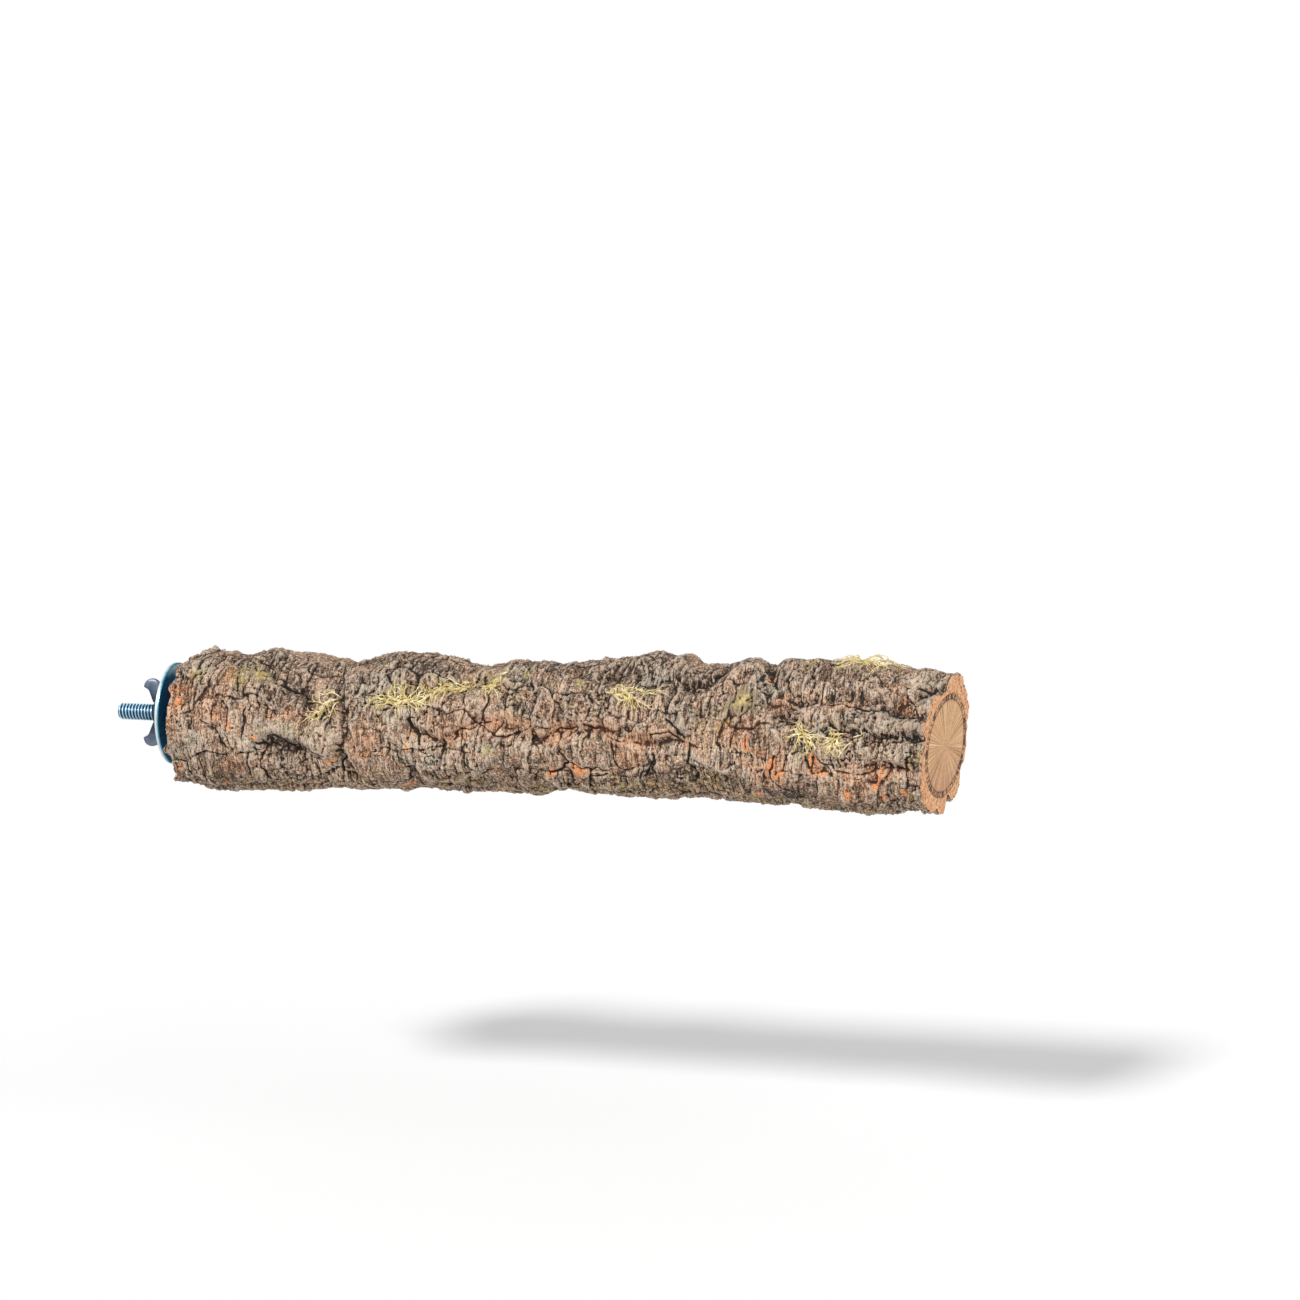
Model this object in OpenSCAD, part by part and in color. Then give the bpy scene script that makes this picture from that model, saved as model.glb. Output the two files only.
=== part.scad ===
// Natural branch perch: a sawn log in its bark, carried at one end by a hanger bolt. Two wide washers on
// the bolt grip whatever the perch is fixed to, and a wing nut draws them together.
// The origin lies on the bolt, in the gripping face of the inner washer. +X runs out along the perch,
// +Z is up, and -Y is the front of the log.

/* [Log] */
// Length of the log along its middle, from the gripping face to the sawn end
log_length = 286; // [200:1:400]
// Diameter of the wood inside the bark
wood_d = 33; // [24:0.5:60]
// Thickness of the dark inner bark round the wood
inner_bark_t = 2; // [1:0.25:4]
// Usual thickness of the cork bark
cork_t = 6; // [4:0.25:9]
// How far the middle of the wood lies below the bolt
wood_drop = 0.5; // [0:0.25:2]
// Turn of the saw cut towards the front, in degrees
cut_yaw = 12.5; // [0:0.5:20]
// Lean of the saw cut, in degrees: the lower edge of the log is the shorter one
cut_lean = 3.6; // [0:0.2:10]

/* [Hanger bolt] */
// Outside diameter of the bolt's two threads
bolt_d = 6.35; // [5:0.05:8]
// Whole length of the bolt
bolt_length = 63.5; // [56:0.5:90]
// How far the bolt's end stands behind the gripping face of the inner washer
bolt_reach = 28.2; // [24:0.1:32]
// Pitch of the thread that takes the nut
bolt_pitch = 1.27; // [1:0.01:1.6]
// Depth of the thread that takes the nut
bolt_thread_depth = 0.76; // [0.5:0.02:0.8]
// Diameter of the plain neck between the threads
neck_d = 5.5; // [5.1:0.05:5.8]
// How far the plain neck reaches into the wood
neck_bite = 4; // [2:0.5:8]
// Pitch of the coarse thread in the wood
lag_pitch = 2.54; // [2:0.02:4]
// Depth of the coarse thread in the wood
lag_thread_depth = 1.05; // [0.7:0.05:1.2]
// Length of the point on the coarse thread
lag_point = 5; // [3:0.5:8]

/* [Washers] */
// Diameter of both washers
washer_d = 38.1; // [30:0.1:44]
// Thickness of both washers
washer_t = 1.6; // [1:0.1:2.5]
// Hole in both washers
washer_hole_d = 7.1; // [7:0.1:9]
// Rounding of a washer's outer edges
washer_edge = 0.3; // [0.1:0.05:0.45]
// Clearance round the inner washer in its seat in the bark
seat_clearance = 0.2; // [0.1:0.05:0.5]
// Room between the washers for what they grip
grip_gap = 4.6; // [4.2:0.1:8]

/* [Wing nut] */
// Diameter of the nut's hub at the washer
hub_d = 11.6; // [10.6:0.1:14]
// Diameter of the nut's hub at its top
hub_top_d = 10.2; // [9.6:0.1:10.6]
// Height of the nut's hub
hub_h = 7; // [5:0.1:9]
// Running clearance between the bolt and the nut, on the radius
nut_clearance = 0.06; // [0.04:0.01:0.08]
// Width over both wings
wing_span = 25.6; // [20:0.2:32]
// Height of the wings above the washer
wing_h = 12.1; // [9:0.1:15]
// Thickness of the wings
wing_t = 2.8; // [2:0.1:4]
// Radius of a wing's round tip
wing_tip_r = 3.3; // [2.5:0.1:3.6]
// Turn of the wings from upright, in degrees
wing_turn = 176; // [0:1:180]

/* [Lichen] */
// Width of a full tuft of beard lichen
tuft_w = 8; // [4:0.5:14]
// Height of a tuft of beard lichen
tuft_h = 2.6; // [1.5:0.1:5]
// How deep the foot of a tuft grows into the bark
tuft_root = 0.6; // [0.4:0.05:0.9]
// Width of a pad of crust lichen
pad_w = 13; // [6:0.5:18]
// Height of a pad of crust lichen
pad_h = 1; // [0.8:0.05:1.5]

/* [Hidden] */

// Extra length that lets a cut run past a face
overrun = 1;
// Chamfer where a turned end is broken, as a share of its diameter
chamfer_share = 0.12;

// Radius over the inner bark, on which the cork sits
under_r = wood_d / 2 + inner_bark_t;
// Usual radius over the cork, and the way round it
bark_r = under_r + cork_t;
girth = 2 * PI * bark_r;
// The wood starts behind the inner washer, which lies in a seat, flush with the bark
log_x = washer_t;
// Height of the middle of the log
log_z = -wood_drop;
// Place of the sawn end in the middle of the wood
end_x = log_length;
// Faces of the outer washer: the gripping one, and the one that the nut presses on
outer_face_x = -grip_gap;
nut_face_x = outer_face_x - washer_t;
// Bore in the wood for the coarse thread, which is that thread's root
pilot_d = bolt_d - 2 * lag_thread_depth;

// Where the saw cut crosses a line along the log at the place y, z beside the middle of the wood
function cut_x(y, z) = end_x + tan(cut_yaw) * y + tan(cut_lean) * z;

// The wood and the inner bark are sawn with the bark, and long blanks are cut at the saw's plane
module saw_cut(reach) {
    slab = 4 * bark_r;
    translate([end_x, 0, log_z])
        rotate([0, atan(tan(cut_lean) * cos(cut_yaw)), -cut_yaw])
            translate([0, -slab / 2, -slab / 2])
                cube([reach, slab, slab]);
}

module log_blank(r) {
    translate([log_x, 0, log_z])
        rotate([0, 90, 0]) cylinder(r = r, h = log_length - log_x + bark_r, $fn = 96);
}

module pilot_bore() {
    rotate([0, 90, 0]) {
        cylinder(d = pilot_d, h = bolt_length - bolt_reach, $fn = 48);
        cylinder(d = neck_d, h = log_x + neck_bite, $fn = 48);
    }
}

module wood_core() {
    color([0.74, 0.58, 0.42])
        difference() {
            log_blank(wood_d / 2);
            saw_cut(2 * bark_r);
            pilot_bore();
        }
}

module inner_bark() {
    color([0.36, 0.22, 0.16])
        difference() {
            log_blank(under_r);
            saw_cut(2 * bark_r);
            translate([-overrun, 0, 0]) log_blank(wood_d / 2);
            log_blank(wood_d / 2);
        }
}

// Thickness of the cork at places along the log, as shares of its usual thickness.
// A row is the place along the log, then the top, the front, the underside and the back.
cover_shares = [
    [0.00, 0.55, 1.20, 1.25, 0.80], [0.05, 0.86, 1.45, 1.55, 1.00], [0.08, 0.82, 1.35, 1.40, 1.10],
    [0.12, 1.28, 1.25, 1.28, 1.00], [0.16, 1.14, 0.95, 1.22, 0.75], [0.20, 0.78, 0.90, 1.12, 0.70],
    [0.23, 0.50, 1.06, 1.06, 0.90], [0.25, 0.96, 1.10, 1.04, 1.00], [0.29, 1.40, 1.15, 0.92, 1.20],
    [0.33, 1.32, 1.00, 0.82, 1.10], [0.36, 1.14, 1.05, 0.88, 0.85], [0.39, 0.68, 1.10, 0.85, 0.70],
    [0.46, 1.08, 1.05, 0.72, 0.95], [0.53, 0.98, 1.10, 0.46, 1.10], [0.58, 1.40, 1.15, 0.68, 0.90],
    [0.62, 1.84, 1.10, 0.86, 0.75], [0.66, 1.90, 0.95, 0.76, 0.80], [0.69, 1.16, 0.80, 0.46, 1.00],
    [0.76, 1.64, 0.95, 0.72, 1.10], [0.80, 1.70, 1.05, 0.78, 0.90], [0.86, 1.68, 1.15, 1.04, 0.80],
    [0.92, 1.60, 1.10, 1.28, 0.95], [0.96, 1.40, 0.90, 0.95, 0.75], [1.00, 1.30, 0.80, 1.14, 0.55]
];

// Furrows and ridges of the bark. A row is the height as a share of the cork, the half width as a share
// of the cork, and the line as shares of the log's length and of a turn from the top over the front.
relief_shares = [
    [-0.55, 0.75, [[0.13, 0.08], [0.17, 0.14], [0.22, 0.22]]],
    [0.38, 0.70, [[0.11, 0.30], [0.14, 0.24], [0.18, 0.25], [0.23, 0.28]]],
    [-0.50, 0.70, [[0.15, 0.29], [0.18, 0.30]]],
    [-0.45, 0.45, [[0.24, 0.17], [0.25, 0.24], [0.24, 0.30], [0.25, 0.38]]],
    [0.35, 1.00, [[0.02, 0.27], [0.05, 0.29], [0.07, 0.34]]],
    [-0.50, 0.60, [[0.30, 0.17], [0.36, 0.14], [0.42, 0.10]]],
    [0.30, 0.65, [[0.33, 0.29], [0.38, 0.33], [0.44, 0.29]]],
    [-0.50, 0.45, [[0.34, 0.24], [0.38, 0.26], [0.43, 0.21], [0.51, 0.25], [0.56, 0.21],
                   [0.64, 0.245], [0.69, 0.24]]],
    [-0.60, 0.70, [[0.59, 0.08], [0.65, 0.10], [0.71, 0.09], [0.72, 0.04]]],
    [-0.55, 0.50, [[0.773, 0.985], [0.785, 0.05], [0.80, 0.13], [0.84, 0.14], [0.88, 0.12], [0.99, 0.155]]],
    [-0.50, 0.50, [[0.82, 0.17], [0.90, 0.22], [0.99, 0.205]]],
    [0.35, 0.70, [[0.73, 0.27], [0.81, 0.31], [0.93, 0.36]]],
    [-0.40, 0.50, [[0.84, 0.23], [0.87, 0.285], [0.99, 0.28]]],
    [-0.45, 0.60, [[0.00, 0.46], [0.12, 0.43], [0.30, 0.47], [0.46, 0.42], [0.60, 0.46], [0.78, 0.43],
                   [1.00, 0.47]]],
    [-0.55, 0.55, [[0.00, 0.63], [0.16, 0.60], [0.34, 0.66], [0.50, 0.61], [0.70, 0.67], [0.86, 0.62],
                   [1.00, 0.66]]],
    [0.35, 0.80, [[0.10, 0.54], [0.26, 0.56], [0.48, 0.53]]],
    [-0.50, 0.60, [[0.04, 0.80], [0.20, 0.76], [0.40, 0.82], [0.58, 0.77], [0.80, 0.83], [1.00, 0.78]]],
    [0.30, 0.80, [[0.52, 0.72], [0.66, 0.74], [0.84, 0.71]]],
    [-0.45, 0.55, [[0.02, 0.93], [0.22, 0.90], [0.36, 0.95], [0.54, 0.90], [0.74, 0.94], [0.96, 0.89]]],
    [-1.10, 0.80, [[0.965, 0.12], [0.985, 0.07], [1.01, 0.036]]],
    [0.50, 0.50, [[0.97, 0.185], [1.01, 0.187]]],
    [-0.40, 0.80, [[0.985, 0.235], [1.01, 0.235]]],
    [-0.80, 0.45, [[0.98, 0.545], [1.01, 0.545]]],
    [-0.45, 1.20, [[0.975, 0.73], [1.01, 0.73]]]
];

// The bark's plates lie in strips that wind along the log. Width of a strip and length of a plate, then a
// plate's own height and its leans along and across, all as shares of the cork.
plate_shares = [2.5, 1.08];
plate_rise_shares = [0.07, 0.12, 0.09];
// How far the strips wind, as a share of their width, and how far the plates of a strip shift and bow, as
// shares of their length
strip_wind_share = 0.45;
plate_shift_share = 0.6;
plate_bow_share = 0.35;
// Flakes lie on the plates in layers. Their mesh along and round the log and their height are shares of
// the cork, and a layer and its edge are shares of that height and of the layer.
flake_shares = [1, 1.5];
flake_rise_share = 0.13;
flake_layer_share = 0.34;
flake_edge_share = 0.22;
// Both are bent along and round the log: the mesh of the bends, and then their reach, as shares of the cork
bend_shares = [[0.83, 1], [1, 0.83]];
bend_reach_shares = [0.22, 0.3];
// Numbers that scatter the heights and places of plates, flakes and bends
scatter_steps = [12.9898, 78.233, 37.719];
scatter_spread = 43758.5453;
bend_seeds = [10, 20];
flake_seed = 30;
plate_seeds = [40, 50, 60, 70, 80, 90, 100];

// Thinnest cork that a furrow leaves, as a share of its usual thickness
thin_share = 0.22;
// Rings of points along the bark, and points round each ring
bark_rings = 86;
bark_sides = 66;

function ease(u) = u * u * (3 - 2 * u);
function mix(a, b, u) = a + (b - a) * u;
function clamp(u) = max(0, min(1, u));

// The row of cover_shares at or before the place s
function cover_row(s, i = 0) =
    i >= len(cover_shares) - 2 || s < cover_shares[i + 1][0] ? i : cover_row(s, i + 1);

// Cork over one quarter, k from 1 to 4, eased from row to row
function quarter_cover(s, k) =
    let (i = cover_row(s), a = cover_shares[i], b = cover_shares[i + 1])
    mix(a[k], b[k], ease(clamp((s - a[0]) / (b[0] - a[0]))));

// The four quarters blend round the log, each with the square of its cosine
function quarter_weight(angle, k) = pow(max(0, cos(angle - 90 * (k - 1))), 2);

// Distance from the point p to the stretch from a to b
function stretch_distance(p, a, b) =
    let (d = b - a) norm(p - a - clamp((p - a) * d / (d * d)) * d);

// A place on the bark laid flat: the length along the log, and the arc round it
function flat_place(s, turn) = [s * log_length, turn * girth];

// Distance to a line of places, taken round the log on the shorter way
function line_distance(s, turn, line) =
    min([
        for (i = [0 : len(line) - 2])
            let (
                near = turn - round(turn - line[i][1]),
                a = flat_place(line[i][0], line[i][1]),
                b = flat_place(line[i + 1][0], line[i + 1][1] - round(line[i + 1][1] - line[i][1]))
            )
            stretch_distance(flat_place(s, near), a, b)
    ]);

function sum(list, i = 0) = i >= len(list) ? 0 : list[i] + sum(list, i + 1);

// Height of the furrows and ridges as a share of the cork: each falls off as a bell curve
function relief(s, turn) =
    sum([
        for (row = relief_shares)
            let (d = line_distance(s, turn, row[2]) / (row[1] * cork_t))
            d > 3 ? 0 : row[0] * exp(-d * d)
    ]);

// A scattered number from -1 to 1 that stays the same for the same three counts
function scatter(i, j, k) =
    let (v = sin([i, j, k] * scatter_steps) * scatter_spread) 2 * (v - floor(v)) - 1;

function wrap(j, n) = j - n * floor(j / n);

// Smooth unevenness from -1 to 1 at the place p of the bark laid flat: a scattered number at each corner
// of a mesh that closes round the log, eased between the corners
function uneven(p, mesh, seed) =
    let (
        columns = max(2, round(girth / mesh[1])),
        x = p[0] / mesh[0],
        y = p[1] / girth * columns,
        i = floor(x),
        j = floor(y),
        j0 = wrap(j, columns),
        j1 = wrap(j + 1, columns),
        u = ease(x - i)
    )
    mix(
        mix(scatter(i, j0, seed), scatter(i + 1, j0, seed), u),
        mix(scatter(i, j1, seed), scatter(i + 1, j1, seed), u),
        ease(y - j)
    );

// Unevenness with finer unevenness on it: each layer has half the mesh and half the height of the last
function layered(p, mesh, seed, layers = 3) =
    uneven(p, mesh, seed) + (layers > 1 ? layered(p, mesh / 2, seed + 1, layers - 1) / 2 : 0);

function bent(p) =
    [
        for (k = [0, 1])
            p[k] + bend_reach_shares[k] * cork_t * layered(p, bend_shares[k] * cork_t, bend_seeds[k])
    ];

// Height of the plate at p, as a share of the cork
function plate(p) =
    let (
        width = plate_shares[0] * cork_t,
        long = plate_shares[1] * cork_t,
        strips = round(girth / width),
        wind = strip_wind_share * width * layered(p, [2.2, 1.8] * width, plate_seeds[0]),
        t = (p[1] + wind) / girth * strips,
        strip = wrap(floor(t), strips),
        across = t - floor(t),
        bow = plate_bow_share * pow(2 * across - 1, 2) * scatter(strip, 0, plate_seeds[1]),
        shift = plate_shift_share * uneven(p, [2 * long, 1.2 * width], plate_seeds[2]),
        u = p[0] / long + shift + bow + scatter(strip, 0, plate_seeds[3]),
        row = floor(u)
    )
    plate_rise_shares * [
        scatter(strip, row, plate_seeds[4]),
        scatter(strip, row, plate_seeds[5]) * (u - row - 0.5),
        scatter(strip, row, plate_seeds[6]) * (across - 0.5)
    ];

// Height of the flakes at p, as a share of the cork: unevenness in steps with short, steep edges
function flakes(p) =
    let (
        level = layered(p, flake_shares * cork_t, flake_seed) / flake_layer_share,
        base = floor(level),
        edge = clamp((level - base - 1 + flake_edge_share) / flake_edge_share)
    )
    flake_rise_share * flake_layer_share * (base + ease(edge));

function bark_cover(s, angle) =
    let (p = bent(flat_place(s, angle / 360)))
    cork_t * max(
        thin_share,
        sum([for (k = [1 : 4]) quarter_weight(angle, k) * quarter_cover(s, k)])
            + relief(s, angle / 360) + plate(p) + flakes(p)
    );

// A point beside the middle of the wood: the angle runs from the top over the front
function beside(r, angle) = [-r * sin(angle), r * cos(angle)];

function bark_point(s, angle, lift = 0) =
    let (p = beside(under_r + bark_cover(s, angle) + lift, angle))
    [s * cut_x(p[0], p[1]), p[0], log_z + p[1]];

// A closed skin over rings of points, whose first and last rings are flat
module skin(rings) {
    n = len(rings[0]);
    m = len(rings);
    points = [for (ring = rings) each ring];
    faces = concat(
        [[for (j = [0 : n - 1]) j]],
        [[for (j = [n - 1 : -1 : 0]) (m - 1) * n + j]],
        [
            for (i = [0 : m - 2], j = [0 : n - 1], half = [0, 1])
                let (a = i * n + j, b = i * n + (j + 1) % n, c = a + n, d = b + n)
                half == 0 ? [a, c, b] : [b, c, d]
        ]
    );
    polyhedron(points = points, faces = faces, convexity = 10);
}

module cork_bark() {
    color([0.50, 0.41, 0.33])
        difference() {
            skin([
                for (i = [0 : bark_rings])
                    [for (j = [0 : bark_sides - 1]) bark_point(i / bark_rings, 360 * j / bark_sides)]
            ]);
            translate([-overrun, 0, 0])
                rotate([0, 90, 0])
                    cylinder(r = washer_d / 2 + seat_clearance, h = log_x + overrun, $fn = 96);
            translate([-overrun, 0, 0]) log_blank(under_r);
            log_blank(under_r);
        }
}

// A screw thread is one closed skin of helical rows.
// Its profile has four rows a turn, as shares of the pitch and of the depth below the crest.
thread_profile_shares = [[0, 1], [0.34, 0], [0.46, 0], [0.80, 1]];
// Points round one turn
thread_sides = 18;
// Radius at which the rows stop on an end, and the height of the end's dome, as shares of its radius
cap_share = 0.3;
dome_share = 0.12;

// Each end of the rod has its place, its radius there, the length that keeps this radius, and the slope
// at which the rod then widens to the full thread. The rows wind on over each end as a low dome.
module threaded_rod(start, end, crest_r, depth, pitch) {
    rows = len(thread_profile_shares);
    x0 = start[0] + start[1] * dome_share;
    x1 = end[0] - end[1] * dome_share;
    turns = (x1 - x0) / pitch;
    count = ceil((turns + 2) * rows);
    count_turns = row_turn(count) - turns;
    point_count = (count + 1) * thread_sides;

    function row_turn(i) = floor(i / rows) + thread_profile_shares[i % rows][0];
    function end_limit(stop, x) = stop[1] + stop[3] * max(0, abs(x - stop[0]) - stop[2]);
    function thread_r(i, x) = min(
        crest_r - depth * thread_profile_shares[i % rows][1], end_limit(start, x), end_limit(end, x)
    );
    // A place on an end's dome, v from 0 at the rim towards 1 in the middle
    function dome_place(x, r, side, v) =
        let (left = 1 - (1 - cap_share) * v) [x + side * r * dome_share * (1 - left * left), r * left];
    function row_place(i, u) =
        let (x = x0 + pitch * u)
        u < 0 ? dome_place(x0, start[1], -1, -u)
            : u > turns ? dome_place(x1, end[1], 1, (u - turns) / count_turns)
            : [x, thread_r(i, x)];
    function thread_point(i, j) =
        let (p = row_place(i, row_turn(i) + j / thread_sides - 1), angle = 360 * j / thread_sides)
        [p[0], -p[1] * sin(angle), p[1] * cos(angle)];
    function place(i, j) = j < thread_sides ? i * thread_sides + j : (i + rows) * thread_sides;
    function fan(middle, loop) =
        [for (k = [0 : len(loop) - 1]) [middle, loop[k], loop[(k + 1) % len(loop)]]];

    points = concat(
        [for (i = [0 : count], j = [0 : thread_sides - 1]) thread_point(i, j)],
        [[start[0], 0, 0], [end[0], 0, 0]]
    );
    first_loop = concat(
        [for (j = [0 : thread_sides]) place(0, j)],
        [for (i = [rows - 1 : -1 : 1]) place(i, 0)]
    );
    last_loop = concat(
        [for (i = [count - rows : count]) place(i, thread_sides - 1)],
        [for (j = [thread_sides - 2 : -1 : 0]) place(count, j)]
    );
    faces = concat(
        fan(point_count, first_loop),
        fan(point_count + 1, last_loop),
        [
            for (i = [0 : count - 1], j = [0 : thread_sides - 1], half = [0, 1])
                if (j < thread_sides - 1 || i < count - rows)
                    half == 0
                        ? [place(i, j), place(i + 1, j), place(i, j + 1)]
                        : [place(i, j + 1), place(i + 1, j), place(i + 1, j + 1)]
        ]
    );
    polyhedron(points = points, faces = faces, convexity = 10);
}

module hanger_bolt() {
    neck_x0 = outer_face_x;
    neck_x1 = log_x + neck_bite;
    // Both threads end inside the neck, a little thinner than it
    buried_r = neck_d / 2 * (1 - chamfer_share);
    buried = neck_d * chamfer_share;
    color([0.70, 0.76, 0.80])
        union() {
            threaded_rod(
                [-bolt_reach, bolt_d / 2 - bolt_thread_depth, 0, 1],
                [neck_x0 + 2 * buried, buried_r, 3 * buried, 1],
                bolt_d / 2, bolt_thread_depth, bolt_pitch
            );
            translate([neck_x0, 0, 0])
                rotate([0, 90, 0]) cylinder(r = neck_d / 2, h = neck_x1 - neck_x0, $fn = 48);
            threaded_rod(
                [neck_x1 - 2 * buried, min(buried_r, pilot_d / 2), 3 * buried, 1],
                [bolt_length - bolt_reach, pilot_d / 2 * cap_share, 0, bolt_d / 2 / lag_point],
                bolt_d / 2, lag_thread_depth, lag_pitch
            );
        }
}

// A pressed washer whose hole is square and whose rim is rounded
module washer() {
    rotate([0, 90, 0])
        rotate_extrude($fn = 96)
            difference() {
                translate([washer_hole_d / 2, 0]) square([(washer_d - washer_hole_d) / 2, washer_t]);
                for (side = [0, 1])
                    translate([washer_d / 2 - washer_edge, side * (washer_t - washer_edge)])
                        difference() {
                            square(washer_edge);
                            translate([0, (1 - side) * washer_edge]) circle(r = washer_edge, $fn = 32);
                        }
            }
}

module inner_washer() {
    color([0.66, 0.74, 0.80]) washer();
}

module outer_washer() {
    color([0.66, 0.74, 0.80]) translate([nut_face_x, 0, 0]) washer();
}

// Half width of the wing's web, as a share of the tip's radius
web_share = 0.7;

// Outline of one wing: a web from the hub to a round tip that stands higher than the hub
module wing_outline() {
    tip = wing_span / 2 - wing_tip_r;
    web = wing_tip_r * web_share;
    hull() {
        translate([wing_h - wing_tip_r, tip]) circle(r = wing_tip_r, $fn = 32);
        translate([hub_h - web, 0]) circle(r = web, $fn = 32);
        translate([web / 2, 0]) square([web, hub_top_d / 2]);
    }
}

module wing_nut() {
    rim = hub_d * chamfer_share / 2;
    color([0.66, 0.72, 0.77])
        translate([nut_face_x, 0, 0])
            rotate([wing_turn, 0, 0])
                difference() {
                    union() {
                        rotate([0, -90, 0])
                            rotate_extrude($fn = 64)
                                polygon([
                                    [0, 0], [hub_d / 2 - rim, 0], [hub_d / 2, rim],
                                    [hub_top_d / 2, hub_h - rim], [hub_top_d / 2 - rim, hub_h], [0, hub_h]
                                ]);
                        for (side = [0, 180])
                            rotate([side, 0, 0])
                                mirror([1, 0, 0])
                                    translate([0, wing_t / 2, 0])
                                        rotate([90, 0, 0]) linear_extrude(wing_t) wing_outline();
                    }
                    rotate([0, -90, 0])
                        translate([0, 0, -overrun])
                            cylinder(r = bolt_d / 2 + nut_clearance, h = wing_h + 2 * overrun, $fn = 64);
                }
}

// A lichen grows on the bark along a line of places. A table gives its width as a share of a full tuft
// or pad, then the line as shares of the log's length and of a turn from the top over the front.
tuft_left_shares = [1.0, [[0.215, 0.20], [0.238, 0.165]]];
tuft_band_shares = [1.0, [[0.30, 0.175], [0.34, 0.16]]];
tuft_band_end_shares = [0.75, [[0.355, 0.155], [0.40, 0.10]]];
tuft_middle_shares = [0.75, [[0.43, 0.125], [0.45, 0.105]]];
tuft_hollow_shares = [1.0, [[0.60, 0.15], [0.645, 0.135]]];
tuft_right_shares = [1.0, [[0.845, 0.205], [0.87, 0.225]]];
tuft_right_fan_shares = [1.0, [[0.885, 0.205], [0.915, 0.225]]];
tuft_top_shares = [1.2, [[0.86, -0.02], [0.95, -0.01]]];
pad_green_shares = [1.0, [[0.11, 0.09], [0.15, 0.11]]];
pad_yellow_shares = [0.9, [[0.75, 0.14], [0.785, 0.15]]];

// Rings along a mound, and points on each half of its back
mound_steps = 8;
mound_sides = 5;
// Width and height at a mound's ends, as a share of its middle
mound_end_share = 0.3;
// Depth of the middle of a mound's foot, as a share of the depth at its edge
foot_share = 1.5;

// A low mound with its foot in the bark: its width tapers to both ends and its back is rounded
module mound(line, width, height) {
    spans = len(line) - 1;
    skin([
        for (i = [0 : mound_steps])
            let (
                u = i / mound_steps * spans,
                k = min(floor(u), spans - 1),
                s = mix(line[k][0], line[k + 1][0], u - k),
                angle = 360 * mix(line[k][1], line[k + 1][1], u - k),
                swell = mound_end_share + (1 - mound_end_share) * sin(180 * i / mound_steps),
                across = width / 2 * swell / bark_r * 180 / PI,
                rise = height * swell + tuft_root
            )
            concat(
                [
                    for (j = [-mound_sides : mound_sides])
                        let (w = j / mound_sides)
                        bark_point(s, angle + w * across, rise * sqrt(1 - w * w) - tuft_root)
                ],
                [
                    for (j = [mound_sides - 1 : -1 : 1 - mound_sides])
                        bark_point(s, angle + j / mound_sides * across, -tuft_root * foot_share)
                ]
            )
    ]);
}

module beard_lichen(shares) {
    color([0.74, 0.74, 0.40]) mound(shares[1], tuft_w * shares[0], tuft_h);
}

module crust_lichen(shares) {
    color([0.66, 0.66, 0.38]) mound(shares[1], pad_w * shares[0], pad_h);
}

wood_core();
inner_bark();
cork_bark();
hanger_bolt();
inner_washer();
outer_washer();
wing_nut();
beard_lichen(tuft_left_shares);  // beard_lichen_left
beard_lichen(tuft_band_shares);  // beard_lichen_band
beard_lichen(tuft_band_end_shares);  // beard_lichen_band_end
beard_lichen(tuft_middle_shares);  // beard_lichen_middle
beard_lichen(tuft_hollow_shares);  // beard_lichen_hollow
beard_lichen(tuft_right_shares);  // beard_lichen_right
beard_lichen(tuft_right_fan_shares);  // beard_lichen_right_fan
beard_lichen(tuft_top_shares);  // beard_lichen_top
crust_lichen(pad_green_shares);  // crust_lichen_green
crust_lichen(pad_yellow_shares);  // crust_lichen_yellow
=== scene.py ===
"""A natural branch perch: a sawn log in cork bark with lichens, held by a hanger bolt, two wide washers
and a wing nut.

Shapes are worked out in millimetres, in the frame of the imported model: +X runs out along the perch, +Z is
up and -Y is the front. A place on the bark is (along, arc), or (a, c) for short: the length along the log,
and the way round it from the top over the front, both in millimetres on the bark laid flat. A noise is given
its mesh in millimetres and its seed.
"""

import math

import bpy
import numpy as np
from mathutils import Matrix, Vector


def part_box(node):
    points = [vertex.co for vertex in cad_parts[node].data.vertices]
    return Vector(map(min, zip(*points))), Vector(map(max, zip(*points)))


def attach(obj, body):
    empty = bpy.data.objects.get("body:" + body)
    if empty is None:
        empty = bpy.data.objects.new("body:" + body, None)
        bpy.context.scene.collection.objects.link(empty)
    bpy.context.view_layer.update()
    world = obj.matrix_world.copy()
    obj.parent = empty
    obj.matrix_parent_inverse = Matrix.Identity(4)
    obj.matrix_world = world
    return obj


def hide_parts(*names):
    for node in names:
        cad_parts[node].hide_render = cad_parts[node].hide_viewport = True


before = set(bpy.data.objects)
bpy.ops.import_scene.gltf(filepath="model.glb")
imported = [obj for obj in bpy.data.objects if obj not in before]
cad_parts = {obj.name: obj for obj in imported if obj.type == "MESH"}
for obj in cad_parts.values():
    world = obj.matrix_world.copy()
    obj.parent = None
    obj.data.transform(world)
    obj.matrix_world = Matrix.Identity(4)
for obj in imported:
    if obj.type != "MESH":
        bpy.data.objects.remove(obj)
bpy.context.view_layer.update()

MM = 0.001
SEED = 20


# Sizes


def span(node, axis):
    """Lowest and highest place of a CAD node on one axis, in millimetres."""
    low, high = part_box(node)
    return low[axis] / MM, high[axis] / MM


# Turn and lean of the saw cut, then the usual thickness of the cork and the least share of it, as the part
# has them
CUT_YAW, CUT_LEAN = math.radians(12.5), math.radians(3.6)
CORK_T, THIN_SHARE = 6.0, 0.22

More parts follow.
